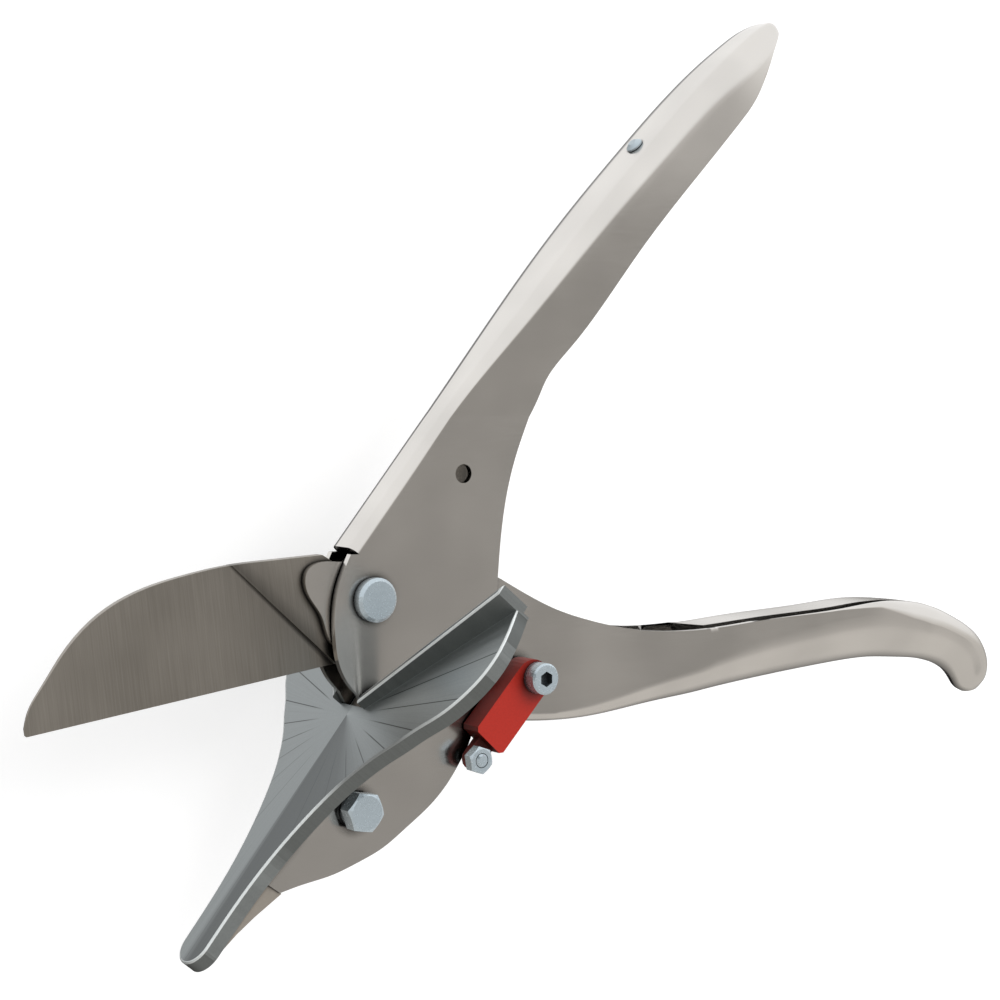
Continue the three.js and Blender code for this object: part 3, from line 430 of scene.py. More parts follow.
def folded_section(row, sides=True, far=False):
    """Half of a channel's section, from its open edge to the middle of its web: (x, y, z) in millimetres."""
    back_x, back_y, open_x, open_y, half, fold, deep = row[:7]
    side = -1 if far else 1
    # Each open edge may turn in over the hollow. The two lips never pass each other.
    edge, lip = half, 0.0
    if len(row) > 7:
        reach, lip = (row[8], row[10]) if far else (row[7], row[9])
        edge = half - reach * min(1.0, 2 * half / max(row[7] + row[8], 0.001))
    run = Vector((open_x - back_x, open_y - back_y))
    depth = run.length
    run.normalize()
    # Bends stay inside the width and the depth.
    fold = min(fold, half * 0.97)
    lip = min(lip, half * 0.8, depth * 0.35)
    deep = min(deep, depth - lip - 0.2)
    edge = min(edge, half - lip)
    points = []
    if sides:
        for step in range(EDGE_STEPS):
            points.append((edge + (half - lip - edge) * step / EDGE_STEPS, depth))
        for step in range(LIP_STEPS):
            angle = math.pi / 2 * (1 - step / LIP_STEPS)
            points.append((half - lip + lip * math.cos(angle), depth - lip + lip * math.sin(angle)))
        for step in range(SIDE_STEPS):
            points.append((half, (depth - lip) + (deep - depth + lip) * step / SIDE_STEPS))
    for step in range(FOLD_STEPS + 1):
        angle = math.pi / 2 * step / FOLD_STEPS
        points.append((half - fold + fold * math.cos(angle), deep - deep * math.sin(angle)))
    for step in range(1, WEB_STEPS + 1):
        points.append(((half - fold) * (1 - step / WEB_STEPS), 0.0))
    return [(back_x + run.x * deep, back_y + run.y * deep, across * side) for across, deep in points]


def flat_side(row, outer_face):
    """The points of a section that lie in the near plate's outer face, from the open edge inward."""
    side = folded_section(row)[EDGE_STEPS + LIP_STEPS:]
    return [point for point in side if abs(point[2] - outer_face) < 0.02]


def folded_rings(rows, sides=True):
    """Whole sections along a lever, or only their folds and webs."""
    rings = []
    for row in rows:
        near = folded_section(row, sides)
        far = folded_section(row, sides, far=True)[-2::-1]
        rings.append([in_plates(*point) for point in near + far])
    return rings


def add_strip(mesh, rings):
    rows = [[mesh.verts.new(point) for point in ring] for ring in rings]
    for row, following in zip(rows, rows[1:]):
        for i in range(len(row) - 1):
            mesh.faces.new((row[i], row[i + 1], following[i + 1], following[i]))
    return rows


def object_of(mesh, name, material):
    data = bpy.data.meshes.new(name)
    mesh.to_mesh(data)
    mesh.free()
    data.materials.append(material)
    obj = bpy.data.objects.new(name, data)
    bpy.context.scene.collection.objects.link(obj)
    return obj


def settle(obj):
    """Applies the modifiers so far."""
    bpy.context.view_layer.update()
    graph = bpy.context.evaluated_depsgraph_get()
    data = bpy.data.meshes.new_from_object(obj.evaluated_get(graph))
    obj.modifiers.clear()
    obj.data = data


def combine(obj, pieces, operation):
    """Joins solids to an object or cuts them out of it. Each is a mesh with its material."""
    tools = [object_of(mesh, "tool", material) for mesh, material in pieces]
    for tool in tools:
        step = obj.modifiers.new("combine", "BOOLEAN")
        step.object = tool
        step.operation = operation
        step.solver = "EXACT"
        step.material_mode = "TRANSFER"
    settle(obj)
    for tool in tools:
        bpy.data.objects.remove(tool)


HOLE_SIDES = 48


def bore(obj, holes):
    """Cuts round holes: (x, y, low z, high z, diameter) in millimetres."""
    tools = []
    for x, y, low, high, diameter in holes:
        mesh = bmesh.new()
        place = Matrix.Translation(in_plates(x, y, (low + high) / 2))
        radius = diameter / 2000
        ends = {"cap_ends": True, "radius1": radius, "radius2": radius}
        bmesh.ops.create_cone(mesh, segments=HOLE_SIDES, depth=(high - low) / 1000, matrix=place, **ends)
        tools.append((mesh, obj.data.materials[0]))
    combine(obj, tools, "DIFFERENCE")


def solid_between(loop, other):
    """A solid with two like loops of points as its ends."""
    mesh = bmesh.new()
    low, high = ([mesh.verts.new(point) for point in points] for points in (loop, other))
    for i in range(len(low)):
        j = (i + 1) % len(low)
        mesh.faces.new((low[i], low[j], high[j], high[i]))
    mesh.faces.new(low)
    mesh.faces.new(high)
    bmesh.ops.recalc_face_normals(mesh, faces=mesh.faces)
    return mesh


def join_solids(name, pieces):
    """One object from solids that run into each other, given with their materials."""
    first = object_of(pieces[0][0], name, pieces[0][1])
    combine(first, pieces[1:], "UNION")
    mesh = bmesh.new()
    mesh.from_mesh(first.data)
    # Splinters along the joints go, and faces in one plane become one.
    splinter = 0.00002
    bmesh.ops.remove_doubles(mesh, verts=mesh.verts, dist=splinter)
    bmesh.ops.dissolve_limit(mesh, angle_limit=math.radians(0.8), verts=mesh.verts, edges=mesh.edges)
    bmesh.ops.dissolve_degenerate(mesh, edges=mesh.edges, dist=splinter)
    mesh.to_mesh(first.data)
    mesh.free()
    return first


SHARP = math.radians(35.0)


def shade_evenly(obj):
    """Shades the faces smoothly, with the broad ones flat to the eye."""
    for face in obj.data.polygons:
        face.use_smooth = True
    obj.modifiers.new("even_shading", "WEIGHTED_NORMAL").keep_sharp = True


def rub_and_highlight_edges(obj, width, up, clear_of, clearance, rubbed):
    """Rounds the outer edges of faces that look up, except near one point, and gives them a worn finish with
    a painted highlight.
    """
    mesh = bmesh.new()
    mesh.from_mesh(obj.data)
    weight = mesh.edges.layers.float.new("bevel_weight_edge")
    for edge in mesh.edges:
        if len(edge.link_faces) != 2 or not edge.is_convex or edge.calc_face_angle() < SHARP:
            continue
        middle = (edge.verts[0].co + edge.verts[1].co) / 2
        looks_up = max(face.normal.dot(up) for face in edge.link_faces) > 0.9
        if looks_up and (middle - clear_of).length > clearance:
            edge[weight] = 1.0
    mesh.to_mesh(obj.data)
    mesh.free()
    obj.data.materials.append(rubbed)
    bevel = obj.modifiers.new("rubbed_edge", "BEVEL")
    bevel.width = width
    bevel.segments = 3
    bevel.limit_method = "WEIGHT"
    bevel.use_clamp_overlap = False
    bevel.material = len(obj.data.materials) - 1
    obj.modifiers.new("sharp_edges", "EDGE_SPLIT").split_angle = SHARP
    shade_evenly(obj)


def round_edges(obj, width, steps, limit):
    """Rounds the edges that bend more than the limit."""
    bevel = obj.modifiers.new("broken_edge", "BEVEL")
    bevel.width = width
    bevel.segments = steps
    bevel.limit_method = "ANGLE"
    bevel.angle_limit = limit
    return bevel


def break_edges(obj, width):
    """Rounds the sharp edges of a finer mesh."""
    round_edges(obj, width, 2, SHARP)
    shade_evenly(obj)


def fold_sheet(name, material, wall, plate, strips):
    """A folded sheet by its outer face: a flat plate on each side, then strips, the last one closed."""
    mesh = bmesh.new()
    for side in (1, -1):
        mesh.faces.new([mesh.verts.new(in_plates(x, y, z * side)) for x, y, z in plate])
    for rings in strips:
        rows = add_strip(mesh, rings)
    mesh.faces.new(rows[-1])
    bmesh.ops.remove_doubles(mesh, verts=mesh.verts, dist=0.00001)
    bmesh.ops.dissolve_degenerate(mesh, edges=mesh.edges, dist=0.000001)
    bmesh.ops.recalc_face_normals(mesh, faces=mesh.faces)
    # The largest face above the middle is the near plate, and it has to look up.
    near = [face for face in mesh.faces if face.calc_center_median().z > PIVOT.z]
    if max(near, key=lambda face: face.calc_area()).normal.z < 0:
        bmesh.ops.reverse_faces(mesh, faces=mesh.faces)
    obj = object_of(mesh, name, material)
    solid = obj.modifiers.new("wall", "SOLIDIFY")
    solid.thickness = wall / 1000
    solid.offset = -1.0
    solid.use_even_offset = True
    solid.use_quality_normals = True
    settle(obj)
    return obj


def dress(name, material, round_edge=0.0, steps=2):
    """Gives a CAD node its finish and, where asked, broken edges."""
    obj = frame["nodes"][name]
    obj.data.materials.clear()
    obj.data.materials.append(material)
    if round_edge:
        round_edges(obj, round_edge / 1000, steps, math.radians(40.0)).harden_normals = True


# Pieces

# Sizes are in millimetres, about the pivot unless a comment says otherwise.
# Thickness of the levers' sheet, and half the width over each lever's plates
WALL, OUTER_FACE, INNER_FACE = 1.5, 4.62, 2.82
# Sections from one row to the next
ROW_STEPS = 8
# Each row across a lever: its back, its open edge, half of its width, how far its fold reaches in and down
UPPER_WEB = (
    (-4.9, 11.2, 6.0, 2.0, 4.62, 2.1, 2.1),
    (6.6, 24.8, 22.0, 16.0, 4.62, 2.1, 2.1),
    (18.2, 38.4, 41.1, 38.1, 4.62, 2.2, 2.2),
    (25.7, 47.1, 45.2, 46.2, 5.33, 2.6, 2.6),
    (37.1, 60.0, 52.7, 55.1, 6.77, 3.0, 3.0),
    (55.9, 80.8, 69.5, 75.0, 7.91, 3.4, 3.8),
    (74.1, 99.1, 85.9, 92.3, 8.2, 3.7, 4.4),
    (88.7, 112.9, 99.6, 106.1, 8.13, 3.9, 5.2),
    (96.9, 119.7, 104.7, 112.5, 7.98, 4.0, 5.8),
    (102.5, 123.9, 108.0, 118.7, 7.55, 4.0, 5.8),
    (107.4, 127.2, 110.5, 123.3, 6.65, 3.6, 4.4),
    (110.8, 128.9, 112.7, 125.8, 5.1, 2.8, 3.2),
    (113.4, 129.4, 114.4, 127.3, 3.1, 1.8, 2.0),
    (114.9, 128.7, 115.3, 127.5, 1.2, 0.8, 1.0),
)
HEAD_FRONT = (
    (-5.4, 9.9), (-8.1, 4.1), (-9.4, -2.0), (-9.3, -8.0), (-8.3, -13.5), (-6.0, -17.8), (-3.6, -20.4)
)
# The head's cut for the anvil's table: along it from the apex and up from it
HEAD_NOTCH = ((-2.54, 0.0), (-2.54, -3.72), (40.0, -3.72))
HEAD_JAW = (
    (-23.2, -60.6), (-17.7, -59.5), (-10.2, -58.3), (-4.5, -56.6), (2.7, -53.8), (8.0, -50.5), (14.7, -45.9),
    (19.7, -41.0), (24.8, -33.5),
)
HEAD_BACK = ((27.5, -27.0), (31.5, -9.0), (32.8, 5.0), (34.5, 18.6), (37.2, 28.7), (41.1, 38.1))
# The lower handle's far edge is folded over the hollow and leaves a slot beside the near one. Four more
# numbers give this: how far the near and the far lip reach in, and the radius of each bend.
LOWER_WEB = (
    (34.8, -29.5, 34.8, 2.2, 2.82, 2.1, 2.1, 0, 0, 0, 0),
    (49.7, -30.9, 49.7, -5.4, 2.82, 2.1, 2.3, 0, 0, 0, 0),
    (59.7, -30.7, 59.7, -8.8, 4.17, 2.6, 3.4, 0, 0, 0, 0),
    (72.0, -29.4, 71.6, -11.4, 6.16, 4.4, 5.2, 0, 0, 0, 0),
    (81.4, -28.5, 81.0, -12.2, 7.34, 6.0, 6.4, 0, 0, 0, 0),
    (90.9, -27.7, 90.5, -12.2, 8.04, 7.1, 7.4, 0.0, 0.4, 0.0, 0.3),
    (93.5, -27.4, 93.1, -12.1, 8.1, 7.2, 7.8, 0.0, 10.3, 0.0, 1.6),
    (107.9, -26.0, 107.3, -11.2, 8.2, 7.6, 9.4, 0.0, 11.2, 0.0, 1.8),
    (132.8, -24.1, 132.2, -10.1, 8.2, 7.6, 11.0, 0.2, 11.8, 0.4, 2.0),
    (145.6, -23.7, 144.8, -9.4, 8.1, 7.4, 11.0, 1.5, 11.7, 1.4, 2.4),
    (156.3, -24.5, 156.7, -10.2, 7.4, 6.9, 9.8, 4.4, 10.2, 4.0, 4.0),
    (162.7, -25.2, 165.5, -11.8, 6.97, 6.5, 9.0, 7.4, 7.6, 5.0, 5.0),
    (168.9, -26.6, 174.3, -15.3, 6.4, 6.0, 8.0, 7.0, 7.0, 5.0, 5.0),
    (173.9, -28.8, 182.1, -19.8, 5.74, 5.4, 7.4, 6.4, 6.4, 4.6, 4.6),
    (176.9, -31.6, 186.4, -25.6, 4.92, 4.6, 6.4, 5.5, 5.5, 3.9, 3.9),
    (178.8, -34.0, 186.6, -31.0, 3.94, 3.6, 4.8, 4.5, 4.5, 3.1, 3.1),
    (181.0, -35.2, 184.2, -34.4, 2.1, 1.9, 1.9, 2.5, 2.5, 1.7, 1.7),
)
INNER_FRONT = (
    (-2.0, 9.2), (-6.0, 8.3), (-11.6, 8.5), (-15.0, 6.8), (-15.5, 3.8), (-13.9, 0.3), (-11.5, -3.2),
    (-10.0, -7.5), (-6.6, -11.2), (0.5, -12.4), (6.0, -10.8), (12.0, -10.0), (17.5, -15.0), (24.0, -23.0),
    (30.0, -27.0), (34.8, -27.4),
)
INNER_TOP = ((34.8, 2.2), (22.0, 7.5), (12.0, 8.8), (4.0, 8.5), (-2.0, 9.2))
# Holes: x, y, low and high end, diameter. The catch's and the latch's go through the near plate only.
UPPER_HOLES = ((0, 0, -9, 9, 6.2), (23.5, 26.1, 0, 9, 4.2))
LOWER_HOLES = ((0, 0, -9, 9, 8.3), (38.8, -19.2, 0, 9, 3.8))


def curve_through(points, steps=6):
    return [tuple(row) for row in smooth_rows(points, steps)]


def on_table(along, up):
    point = APEX + TABLE_RUN * along / 1000 + TABLE_UP * up / 1000 - PIVOT
    return point.x * 1000, point.y * 1000


def fold_upper_lever(material):
    """Head plates with the jaw, and the handle. Beside the head only the web and its folds are strips."""
    head_rows = 2 * ROW_STEPS
    rows = folded_rows(UPPER_WEB, ROW_STEPS, head_rows)
    outline = curve_through(HEAD_FRONT) + [on_table(*corner) for corner in HEAD_NOTCH]
    outline += curve_through(HEAD_JAW) + curve_through(HEAD_BACK)[:-1]
    outline += [(x, y) for x, y, z in flat_side(rows[head_rows], OUTER_FACE)]
    outline += [folded_section(row, False)[0][:2] for row in rows[head_rows - 1::-1]]
    plate = [(x, y, OUTER_FACE) for x, y in outline]
    strips = [folded_rings(rows[:head_rows + 1], False), folded_rings(rows[head_rows:])]
    return fold_sheet("anvil_lever_sheet", material, WALL, plate, strips)


def fold_lower_lever(material):
    """Plates round the pivot, and the handle with its curled hook."""
    rows = folded_rows(LOWER_WEB, ROW_STEPS, ROW_STEPS)
    outline = curve_through(INNER_FRONT)[:-1]
    outline += [(x, y) for x, y, z in reversed(flat_side(rows[0], INNER_FACE))]
    outline += curve_through(INNER_TOP)[1:-1]
    plate = [(x, y, INNER_FACE) for x, y in outline]
    return fold_sheet("blade_lever_sheet", material, WALL, plate, [folded_rings(rows)])


class SNIPS_OT_levers(bpy.types.Operator):
    """Two folded steel levers"""

    bl_idname = "snips.levers"
    bl_label = "Levers"

    def execute(self, context):
        finish = context.scene.snips_finish
        nickel = bright_nickel_plate(finish)
        upper = fold_upper_lever(nickel)
        bore(upper, UPPER_HOLES)
        break_edges(upper, finish.edge_break)
        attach(upper, "anvil_side")
        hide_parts("anvil_lever")

        lower = fold_lower_lever(nickel)
        bore(lower, LOWER_HOLES)
        break_edges(lower, finish.edge_break)
        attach(lower, "blade_side")
        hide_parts("blade_lever")
        return {"FINISHED"}


# How far the edge lies below the pivot
EDGE_DROP = 12.8
# The blade along its edge from the pivot's foot and up from it, and its eye and tail about the pivot
TIP = ((0.0, 0.0), (80.6, 0.0), (81.0, 0.4))
SPINE = (
    (81.0, 1.8), (79.7, 4.9), (76.1, 9.2), (70.7, 14.9), (62.0, 21.1), (50.7, 24.6), (41.3, 25.5),
    (31.9, 25.7), (19.2, 24.8), (9.0, 23.9),
)
HEEL = (5.0, 20.7)
EYE_RADIUS, EYE_SIDES = 9.2, 60
TAIL = ((0.0, 8.8), (12.0, 7.0), (18.0, 4.0), (18.0, -4.0), (12.0, -7.5), (0.0, -9.2))
BLADE_HALF = 1.2
BLADE_HOLES = ((0, 0, -3, 3, 8.2), (14, 0, -3, 3, 4.2))
# Where the bevels are ground, half of the thickness at the edge and its growth for each millimetre up. The
# cutters reach past the blade's sides.
GRIND_ZONE = ((7.0, -2.0), (83.0, -2.0), (83.0, 30.0), (34.7, 30.0))
EDGE_HALF, BEVEL_SLOPE, CUT_REACH = 0.15, 0.0271, 3.2
HONED_EDGE = 0.12


def on_edge(along, up):
    """A point about the pivot from its millimetres along the cutting edge and up from it."""
    run = Vector((math.cos(EDGE_ANGLE), math.sin(EDGE_ANGLE)))
    return run.x * along + run.y * (up - EDGE_DROP), run.y * along - run.x * (up - EDGE_DROP)


def prism(outline, low, high):
    return solid_between(*([in_plates(x, y, z) for x, y in outline] for z in (low, high)))


def bevel_cutter(side):
    """What is ground off one side of the blade."""
    corners = [(*on_edge(along, up), EDGE_HALF + BEVEL_SLOPE * up) for along, up in GRIND_ZONE]
    ground = [in_plates(x, y, z * side) for x, y, z in corners]
    outside = [in_plates(x, y, CUT_REACH * side) for x, y, z in corners]
    return solid_between(ground, outside)


class SNIPS_OT_blade(bpy.types.Operator):
    """Ground blade and the leaf spring"""

    bl_idname = "snips.blade"
    bl_label = "Blade and spring"

    def execute(self, context):
        steel = surface_ground_steel(context.scene.snips_finish)
        dress("return_spring", steel)
        body = [on_edge(*point) for point in [*TIP, *curve_through(SPINE, 5), HEEL]]
        turns = [math.tau * side / EYE_SIDES for side in range(EYE_SIDES)]
        eye = [(EYE_RADIUS * math.cos(turn), EYE_RADIUS * math.sin(turn)) for turn in turns]
        solids = [(prism(outline, -BLADE_HALF, BLADE_HALF), steel) for outline in (body, eye, TAIL)]
        blade = join_solids("ground_blade", solids)
        combine(blade, [(bevel_cutter(side), steel) for side in (1, -1)], "DIFFERENCE")
        bore(blade, BLADE_HOLES)
        break_edges(blade, HONED_EDGE / 1000)
        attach(blade, "blade_side")
        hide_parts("blade")
        return {"FINISHED"}


# Outline of one half of the anvil, along and across the table from the fences' apex
FLANK = (
    (58.0, 4.8), (50.0, 4.9), (41.0, 5.6), (32.0, 7.3), (20.0, 11.3), (16.4, 13.0), (11.3, 16.2), (7.0, 19.7),
    (3.3, 23.4), (0.0, 26.4), (-4.5, 31.2), (-10.0, 35.0), (-16.0, 37.2), (-22.0, 37.4), (-31.8, 34.5),
)
NOSE_RADIUS, NOSE_STEPS = 4.8, 12
TABLE_THICK = 3.6
# Where a fence's front and back would meet the centre line, its height at the slot and at the wing's end, and
# the ledge of the table behind it
FENCE_FOOT, FENCE_BACK = 2.8, 0.537
FENCE_LOW, FENCE_HIGH = 2.6, 6.2
LEDGE = 1.6
SLOT_HALF, SLOT_END = 4.92, -2.42
# Ribs below the table, along it and up, each with half of its width
CORE_RIB = ((-14.0, -1.0), (-14.0, -17.0), (24.0, -17.0), (34.0, -10.9), (40.4, -7.2), (40.4, -1.0))
NOSE_RIB = (
    (39.6, -1.0), (39.6, -8.4), (43.0, -7.3), (47.0, -6.0), (52.0, -4.7), (56.0, -4.0), (58.0, -3.8),
    (58.0, -1.0),
)
RIBS = ((CORE_RIB, 3.0), (NOSE_RIB, 4.2))
# The rim isn't rounded, rubbed or given its painted highlight this near to the apex, in metres
APEX_CLEARANCE = 0.0065


def table_point(along, across, up):
    return APEX + TABLE_RUN * along / 1000 + Vector((0, 0, across / 1000)) + TABLE_UP * up / 1000


def table_solid():
    """The arrow-shaped table with its round nose and the slot for the blade."""
    tip, end = FLANK[0][0], FLANK[-1]
    turns = [math.pi / 2 * step / NOSE_STEPS for step in range(1, NOSE_STEPS)]
    half = [(tip + NOSE_RADIUS * math.cos(turn), NOSE_RADIUS * math.sin(turn)) for turn in turns]
    half += curve_through(FLANK, 4)
    half += [(FENCE_BACK - end[1] + LEDGE, end[1]), (FENCE_BACK - SLOT_HALF, SLOT_HALF)]
    half += [(SLOT_END, SLOT_HALF)]
    outline = half + [(along, -across) for along, across in reversed(half)] + [(tip + NOSE_RADIUS, 0.0)]
    faces = ([table_point(along, across, up) for along, across in outline] for up in (-TABLE_THICK, 0.0))
    return solid_between(*faces)


def fence_solid(side):
    """A wall at 45 degrees on one wing, higher toward the wing's end."""
    ends = []
    for across, high in ((SLOT_HALF, FENCE_LOW), (FLANK[-1][1], FENCE_HIGH)):
        low = -TABLE_THICK / 2
        corners = ((FENCE_FOOT, low), (FENCE_BACK, low), (FENCE_BACK, high), (FENCE_FOOT, high))
        ends.append([table_point(start - across, across * side, up) for start, up in corners])
    return solid_between(*ends)


def rib_solid(outline, half_width):
    ends = ([table_point(along, across, up) for along, up in outline] for across in (-half_width, half_width))
    return solid_between(*ends)


class SNIPS_OT_anvil(bpy.types.Operator):
    """Cast anvil with its fences"""

    bl_idname = "snips.anvil"
    bl_label = "Anvil"

    def execute(self, context):
        finish = context.scene.snips_finish
        face = brushed_zinc_casting(finish)
        # The ribs keep the skin of the casting, with a grain of 0.8 mm.
        plain = metal_with_grain("plain_zinc_casting", finish.casting_rib, 0.42, 0.0008, 0.00005, 0.7)
        solids = [(table_solid(), face)] + [(fence_solid(side), face) for side in (1, -1)]
        anvil = join_solids("anvil_casting", solids + [(rib_solid(*rib), plain) for rib in RIBS])
        # The raised edges are rounded and get a painted highlight over their wear.
        rub_and_highlight_edges(anvil, finish.rim_width, TABLE_UP, APEX, APEX_CLEARANCE, rubbed_zinc_edge(finish))
        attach(anvil, "anvil_side")
        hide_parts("anvil")
        return {"FINISHED"}


FACETED_FASTENERS = ("anvil_bolt", "anvil_nut", "pivot_nut", "catch_nut", "latch_screw", "catch_screw")
ROUND_FASTENERS = (
    "pivot_bolt", "pivot_washer", "blade_rivet", "anvil_spring_washer", "anvil_washer", "anvil_pin",
    "latch_spacer", "latch_washer", "latch_nut",
)


class SNIPS_OT_fasteners(bpy.types.Operator):
    """Bolts, nuts, washers and rivets"""

    bl_idname = "snips.fasteners"
    bl_label = "Fasteners"

    def execute(self, context):
        finish = context.scene.snips_finish
        # Passivated zinc on steel: a cool light grey, half dulled by its film, with crystals of 0.6 mm.
        zinc = metal_with_grain("bright_zinc_plate", finish.zinc, 0.26, 0.0006, 0.00003, 0.6)
        for name in FACETED_FASTENERS:
            dress(name, zinc, 0.15)
        for name in ROUND_FASTENERS:
            dress(name, zinc)
        # The rivet's head is less metallic and gets only faint painted crease shade.
        rivet = metal_with_grain("zinc_plated_rivet", finish.zinc, 0.3, 0.0006, 0.00003, 0.4, 0.7)
        dress("spring_rivet", rivet)
        # Bronze turned to a satin, with the marks of the tool 0.5 mm apart.
        dress("pivot_bush", metal_with_grain("turned_bearing_bronze", finish.bronze, 0.35, 0.0005, 0.00003))
        return {"FINISHED"}


class SNIPS_OT_latch(bpy.types.Operator):
    """Red safety latch"""

    bl_idname = "snips.latch"
    bl_label = "Latch"

    def execute(self, context):
        dress("latch_lever", moulded_red_nylon(context.scene.snips_finish), 0.5, 3)
        return {"FINISHED"}


# The photograph's frame in pixels, and where the pivot's middle lies in it
PICTURE_SIZE = 1000
PIVOT_PIXEL = (361.2, 597.5)
SENSOR_WIDTH = 36.0
# Directions to the grey wall and to the light side of the room
TO_WALL = Vector((0.5, -0.1, 0.86))
TO_LIGHT = Vector((0.62, 0.2, 0.76))
FLOOR_HALF = 3.0
FLOOR_GAP = 0.0005
# Each lamp's name, place and size in metres, and the setting that holds its power
LAMPS = (("key_lamp", (0.2, 0.5, 0.75), 0.5, "key"), ("fill_lamp", (0.6, -0.3, 0.6), 0.6, "fill"))


def camera_axes(stage):
    """Right, down and forward of the camera in the plates' frame."""
    ca, sa = math.cos(stage.azimuth), math.sin(stage.azimuth)
    ce, se = math.cos(stage.elevation), math.sin(stage.elevation)
    turn = Matrix(((ca, 0, sa), (0, 1, 0), (-sa, 0, ca)))
    tilt = Matrix(((1, 0, 0), (0, ce, -se), (0, se, ce)))
    return tilt @ Matrix.Diagonal((1, -1, -1)) @ turn


def place_camera(scene, stage):
    """A camera at the photograph's angle, with the pivot at its pixel."""
    focal_pixels = stage.lens / SENSOR_WIDTH * PICTURE_SIZE
    across, down_by = ((pixel - PICTURE_SIZE / 2) / focal_pixels for pixel in PIVOT_PIXEL)
    axes = camera_axes(stage)
    right, down, forward = axes
    camera = bpy.data.objects.new("camera", bpy.data.cameras.new("camera"))
    camera.data.lens = stage.lens
    camera.data.sensor_width = SENSOR_WIDTH
    camera.data.clip_start = 0.05
    facing = Matrix((right, -down, -forward)).transposed().to_4x4()
    facing.translation = PIVOT - axes.transposed() @ (Vector((across, down_by, 1.0)) * stage.distance)
    camera.matrix_world = facing
    scene.collection.objects.link(camera)
    scene.camera = camera


def white_paper(stage):
    """Matt paper that takes the shadow. A glow that lights nothing lifts it to white for the camera."""
    material, tree = blank_material("white_paper")
    rays = add(tree, "LightPath")
    matt = add(tree, "BsdfDiffuse", {"Color": stage.paper})
    glow = add(tree, "Emission", {"Color": (1, 1, 1, 1), "Strength": stage.glow})
    dark = add(tree, "Emission", {"Strength": 0.0})
    seen = {0: (rays, "Is Camera Ray"), 1: (dark, "Emission"), 2: (glow, "Emission")}
    lift = add(tree, "MixShader", links=seen)
    both = add(tree, "AddShader", links={0: (matt, "BSDF"), 1: (lift, "Shader")})
    add(tree, "OutputMaterial", links={"Surface": (both, "Shader")})
    return material


def lay_floor(scene, stage):
    mesh = bpy.data.meshes.new("floor")
    corners = [(x * FLOOR_HALF, y * FLOOR_HALF, 0) for x, y in ((-1, -1), (1, -1), (1, 1), (-1, 1))]
    mesh.from_pydata(corners, [], [(0, 1, 2, 3)])
    mesh.materials.append(white_paper(stage))
    floor = bpy.data.objects.new("floor", mesh)
    floor.location.z = -FLOOR_GAP
    # The metal mirrors the room all round, which the world gives.
    floor.visible_glossy = False
    scene.collection.objects.link(floor)


def mirrored_room(tree, toward, stage):
    """Colour and strength that the metal mirrors: a warm grey wall before the plates and light above."""
    axes = add(tree, "SeparateXYZ", links={0: (toward, "Generated")})
    from_wall = {"operation": "DOT_PRODUCT", 1: TO_WALL}
    turn = add(tree, "VectorMath", from_wall, {0: (toward, "Generated")})
    tones = {"From Min": 0.9, "From Max": 0.98, "To Min": stage.side, "To Max": stage.wall}
    wall = add(tree, "MapRange", tones, {"Value": (turn, "Value")})
    below = add(tree, "Math", {"operation": "MINIMUM", 1: 0.0}, {0: (axes, "Z")})
    darker = {"operation": "MULTIPLY_ADD", 1: 0.78}
    side = add(tree, "Math", darker, {0: (below, "Value"), 2: (wall, "Result")})
    rise = {"interpolation_type": "SMOOTHSTEP", "From Min": -0.02, "From Max": 0.3}
    light = add(tree, "MapRange", rise, {"Value": (axes, "Y")})
    bright = {"data_type": "FLOAT", NUMBER_B: stage.light}
    strength = add(tree, "Mix", bright, {0: (light, "Result"), NUMBER_A: (side, "Value")})
    warm_to_white = {"data_type": "RGBA", COLOUR_A: linear("#FFFBF5"), COLOUR_B: linear("#FFFFFF")}
    tone = add(tree, "Mix", warm_to_white, {0: (light, "Result")})
    return {"Color": (tone, COLOUR_OUT), "Strength": (strength, NUMBER_OUT)}


def studio_room(stage):
    """The world: white to the camera, the mirrored room to metal and a soft light to matt surfaces."""
    world = bpy.data.worlds.new("room")
    world.use_nodes = True
    tree = world.node_tree
    tree.nodes.clear()
    rays = add(tree, "LightPath")
    toward = add(tree, "TexCoord")
    gloss = add(tree, "Background", links=mirrored_room(tree, toward, stage))
    # Matt surfaces get less light from the left, where the room is dark.
    lit = add(tree, "VectorMath", {"operation": "DOT_PRODUCT", 1: TO_LIGHT}, {0: (toward, "Generated")})
    fall = {"From Min": -0.3, "From Max": 0.9, "To Min": 0.1, "To Max": stage.room}
    soft = add(tree, "MapRange", fall, {"Value": (lit, "Value")})
    room = add(tree, "Background", {"Color": (1, 1, 1, 1)}, {"Strength": (soft, "Result")})
    back = add(tree, "Background", {"Color": (1, 1, 1, 1), "Strength": 1.0})
    by_gloss = {0: (rays, "Is Glossy Ray"), 1: (room, "Background"), 2: (gloss, "Background")}
    mirror = add(tree, "MixShader", links=by_gloss)
    by_camera = {0: (rays, "Is Camera Ray"), 1: (mirror, "Shader"), 2: (back, "Background")}
    mix = add(tree, "MixShader", links=by_camera)
    add(tree, "OutputWorld", links={"Surface": (mix, "Shader")})
    return world


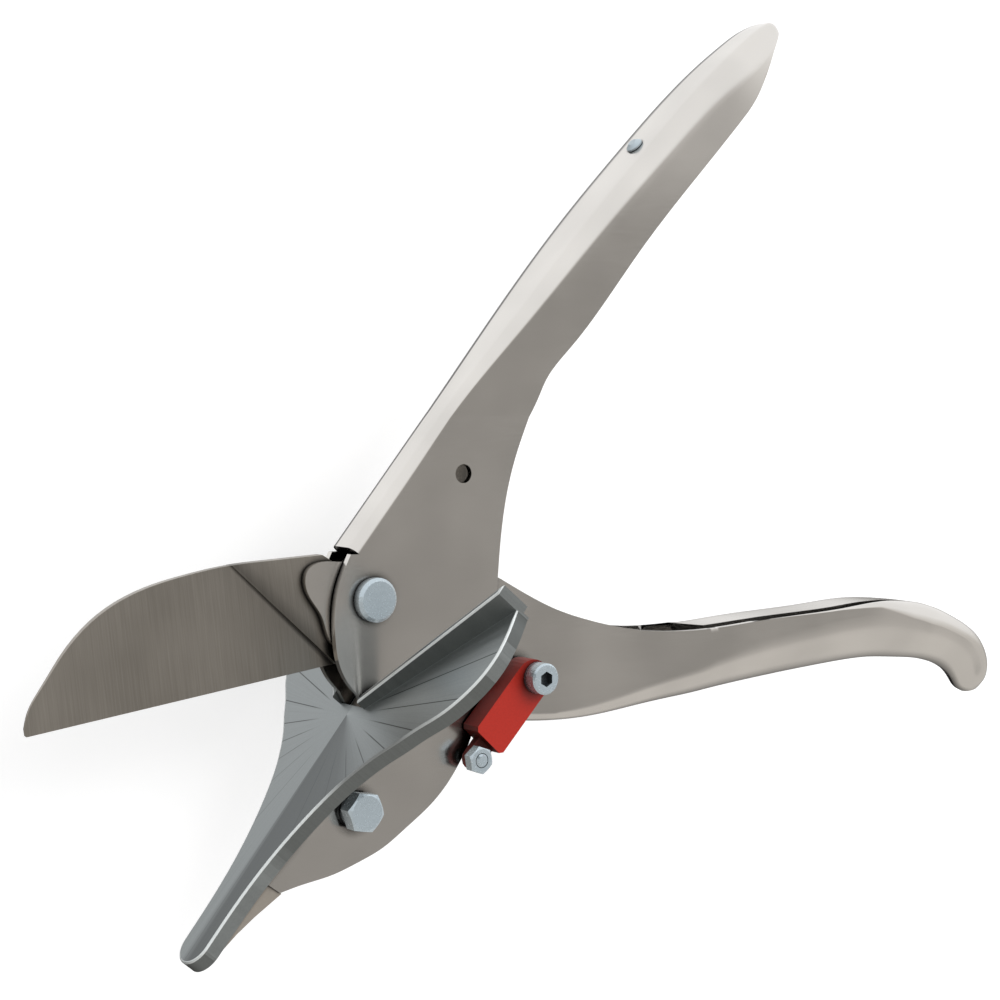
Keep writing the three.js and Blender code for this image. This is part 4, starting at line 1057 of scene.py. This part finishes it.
def hang_lamps(scene, stage):
    """Square lamps that light the matt surfaces and aren't mirrored."""
    for name, place, size, power in LAMPS:
        lamp = bpy.data.lights.new(name, "AREA")
        lamp.size = size
        lamp.energy = getattr(stage, power)
        obj = bpy.data.objects.new(name, lamp)
        obj.location = place
        obj.visible_glossy = False
        obj.rotation_euler = (PIVOT - Vector(place)).to_track_quat("-Z", "Y").to_euler()
        scene.collection.objects.link(obj)


class SNIPS_OT_stage(bpy.types.Operator):
    """Floor, camera, room and lamps"""

    bl_idname = "snips.stage"
    bl_label = "Stage"

    def execute(self, context):
        scene = context.scene
        stage = scene.snips_stage
        scene.view_settings.view_transform = "Standard"
        place_camera(scene, stage)
        lay_floor(scene, stage)
        scene.world = studio_room(stage)
        hang_lamps(scene, stage)
        return {"FINISHED"}


class SNIPS_PT_panel(bpy.types.Panel):
    """Lists the pieces of the snips"""

    bl_label = "Trim snips"
    bl_idname = "SNIPS_PT_panel"
    bl_space_type = "VIEW_3D"
    bl_region_type = "UI"
    bl_category = "Snips"

    def draw(self, context):
        for operator in OPERATORS:
            self.layout.operator(operator.bl_idname)
        for group in (context.scene.snips_finish, context.scene.snips_stage):
            box = self.layout.box()
            for name in group.__annotations__:
                box.prop(group, name)


OPERATORS = (
    SNIPS_OT_levers, SNIPS_OT_blade, SNIPS_OT_anvil, SNIPS_OT_fasteners, SNIPS_OT_latch, SNIPS_OT_stage
)
CLASSES = (FinishSettings, StageSettings) + OPERATORS + (SNIPS_PT_panel,)


def register():
    for item in CLASSES:
        bpy.utils.register_class(item)
    bpy.types.Scene.snips_finish = PointerProperty(type=FinishSettings)
    bpy.types.Scene.snips_stage = PointerProperty(type=StageSettings)


def unregister():
    del bpy.types.Scene.snips_stage
    del bpy.types.Scene.snips_finish
    for item in reversed(CLASSES):
        bpy.utils.unregister_class(item)


def main():
    register()
    bpy.ops.snips.levers()
    bpy.ops.snips.blade()
    bpy.ops.snips.anvil()
    bpy.ops.snips.fasteners()
    bpy.ops.snips.latch()
    bpy.ops.snips.stage()


if __name__ == "__main__":
    main()
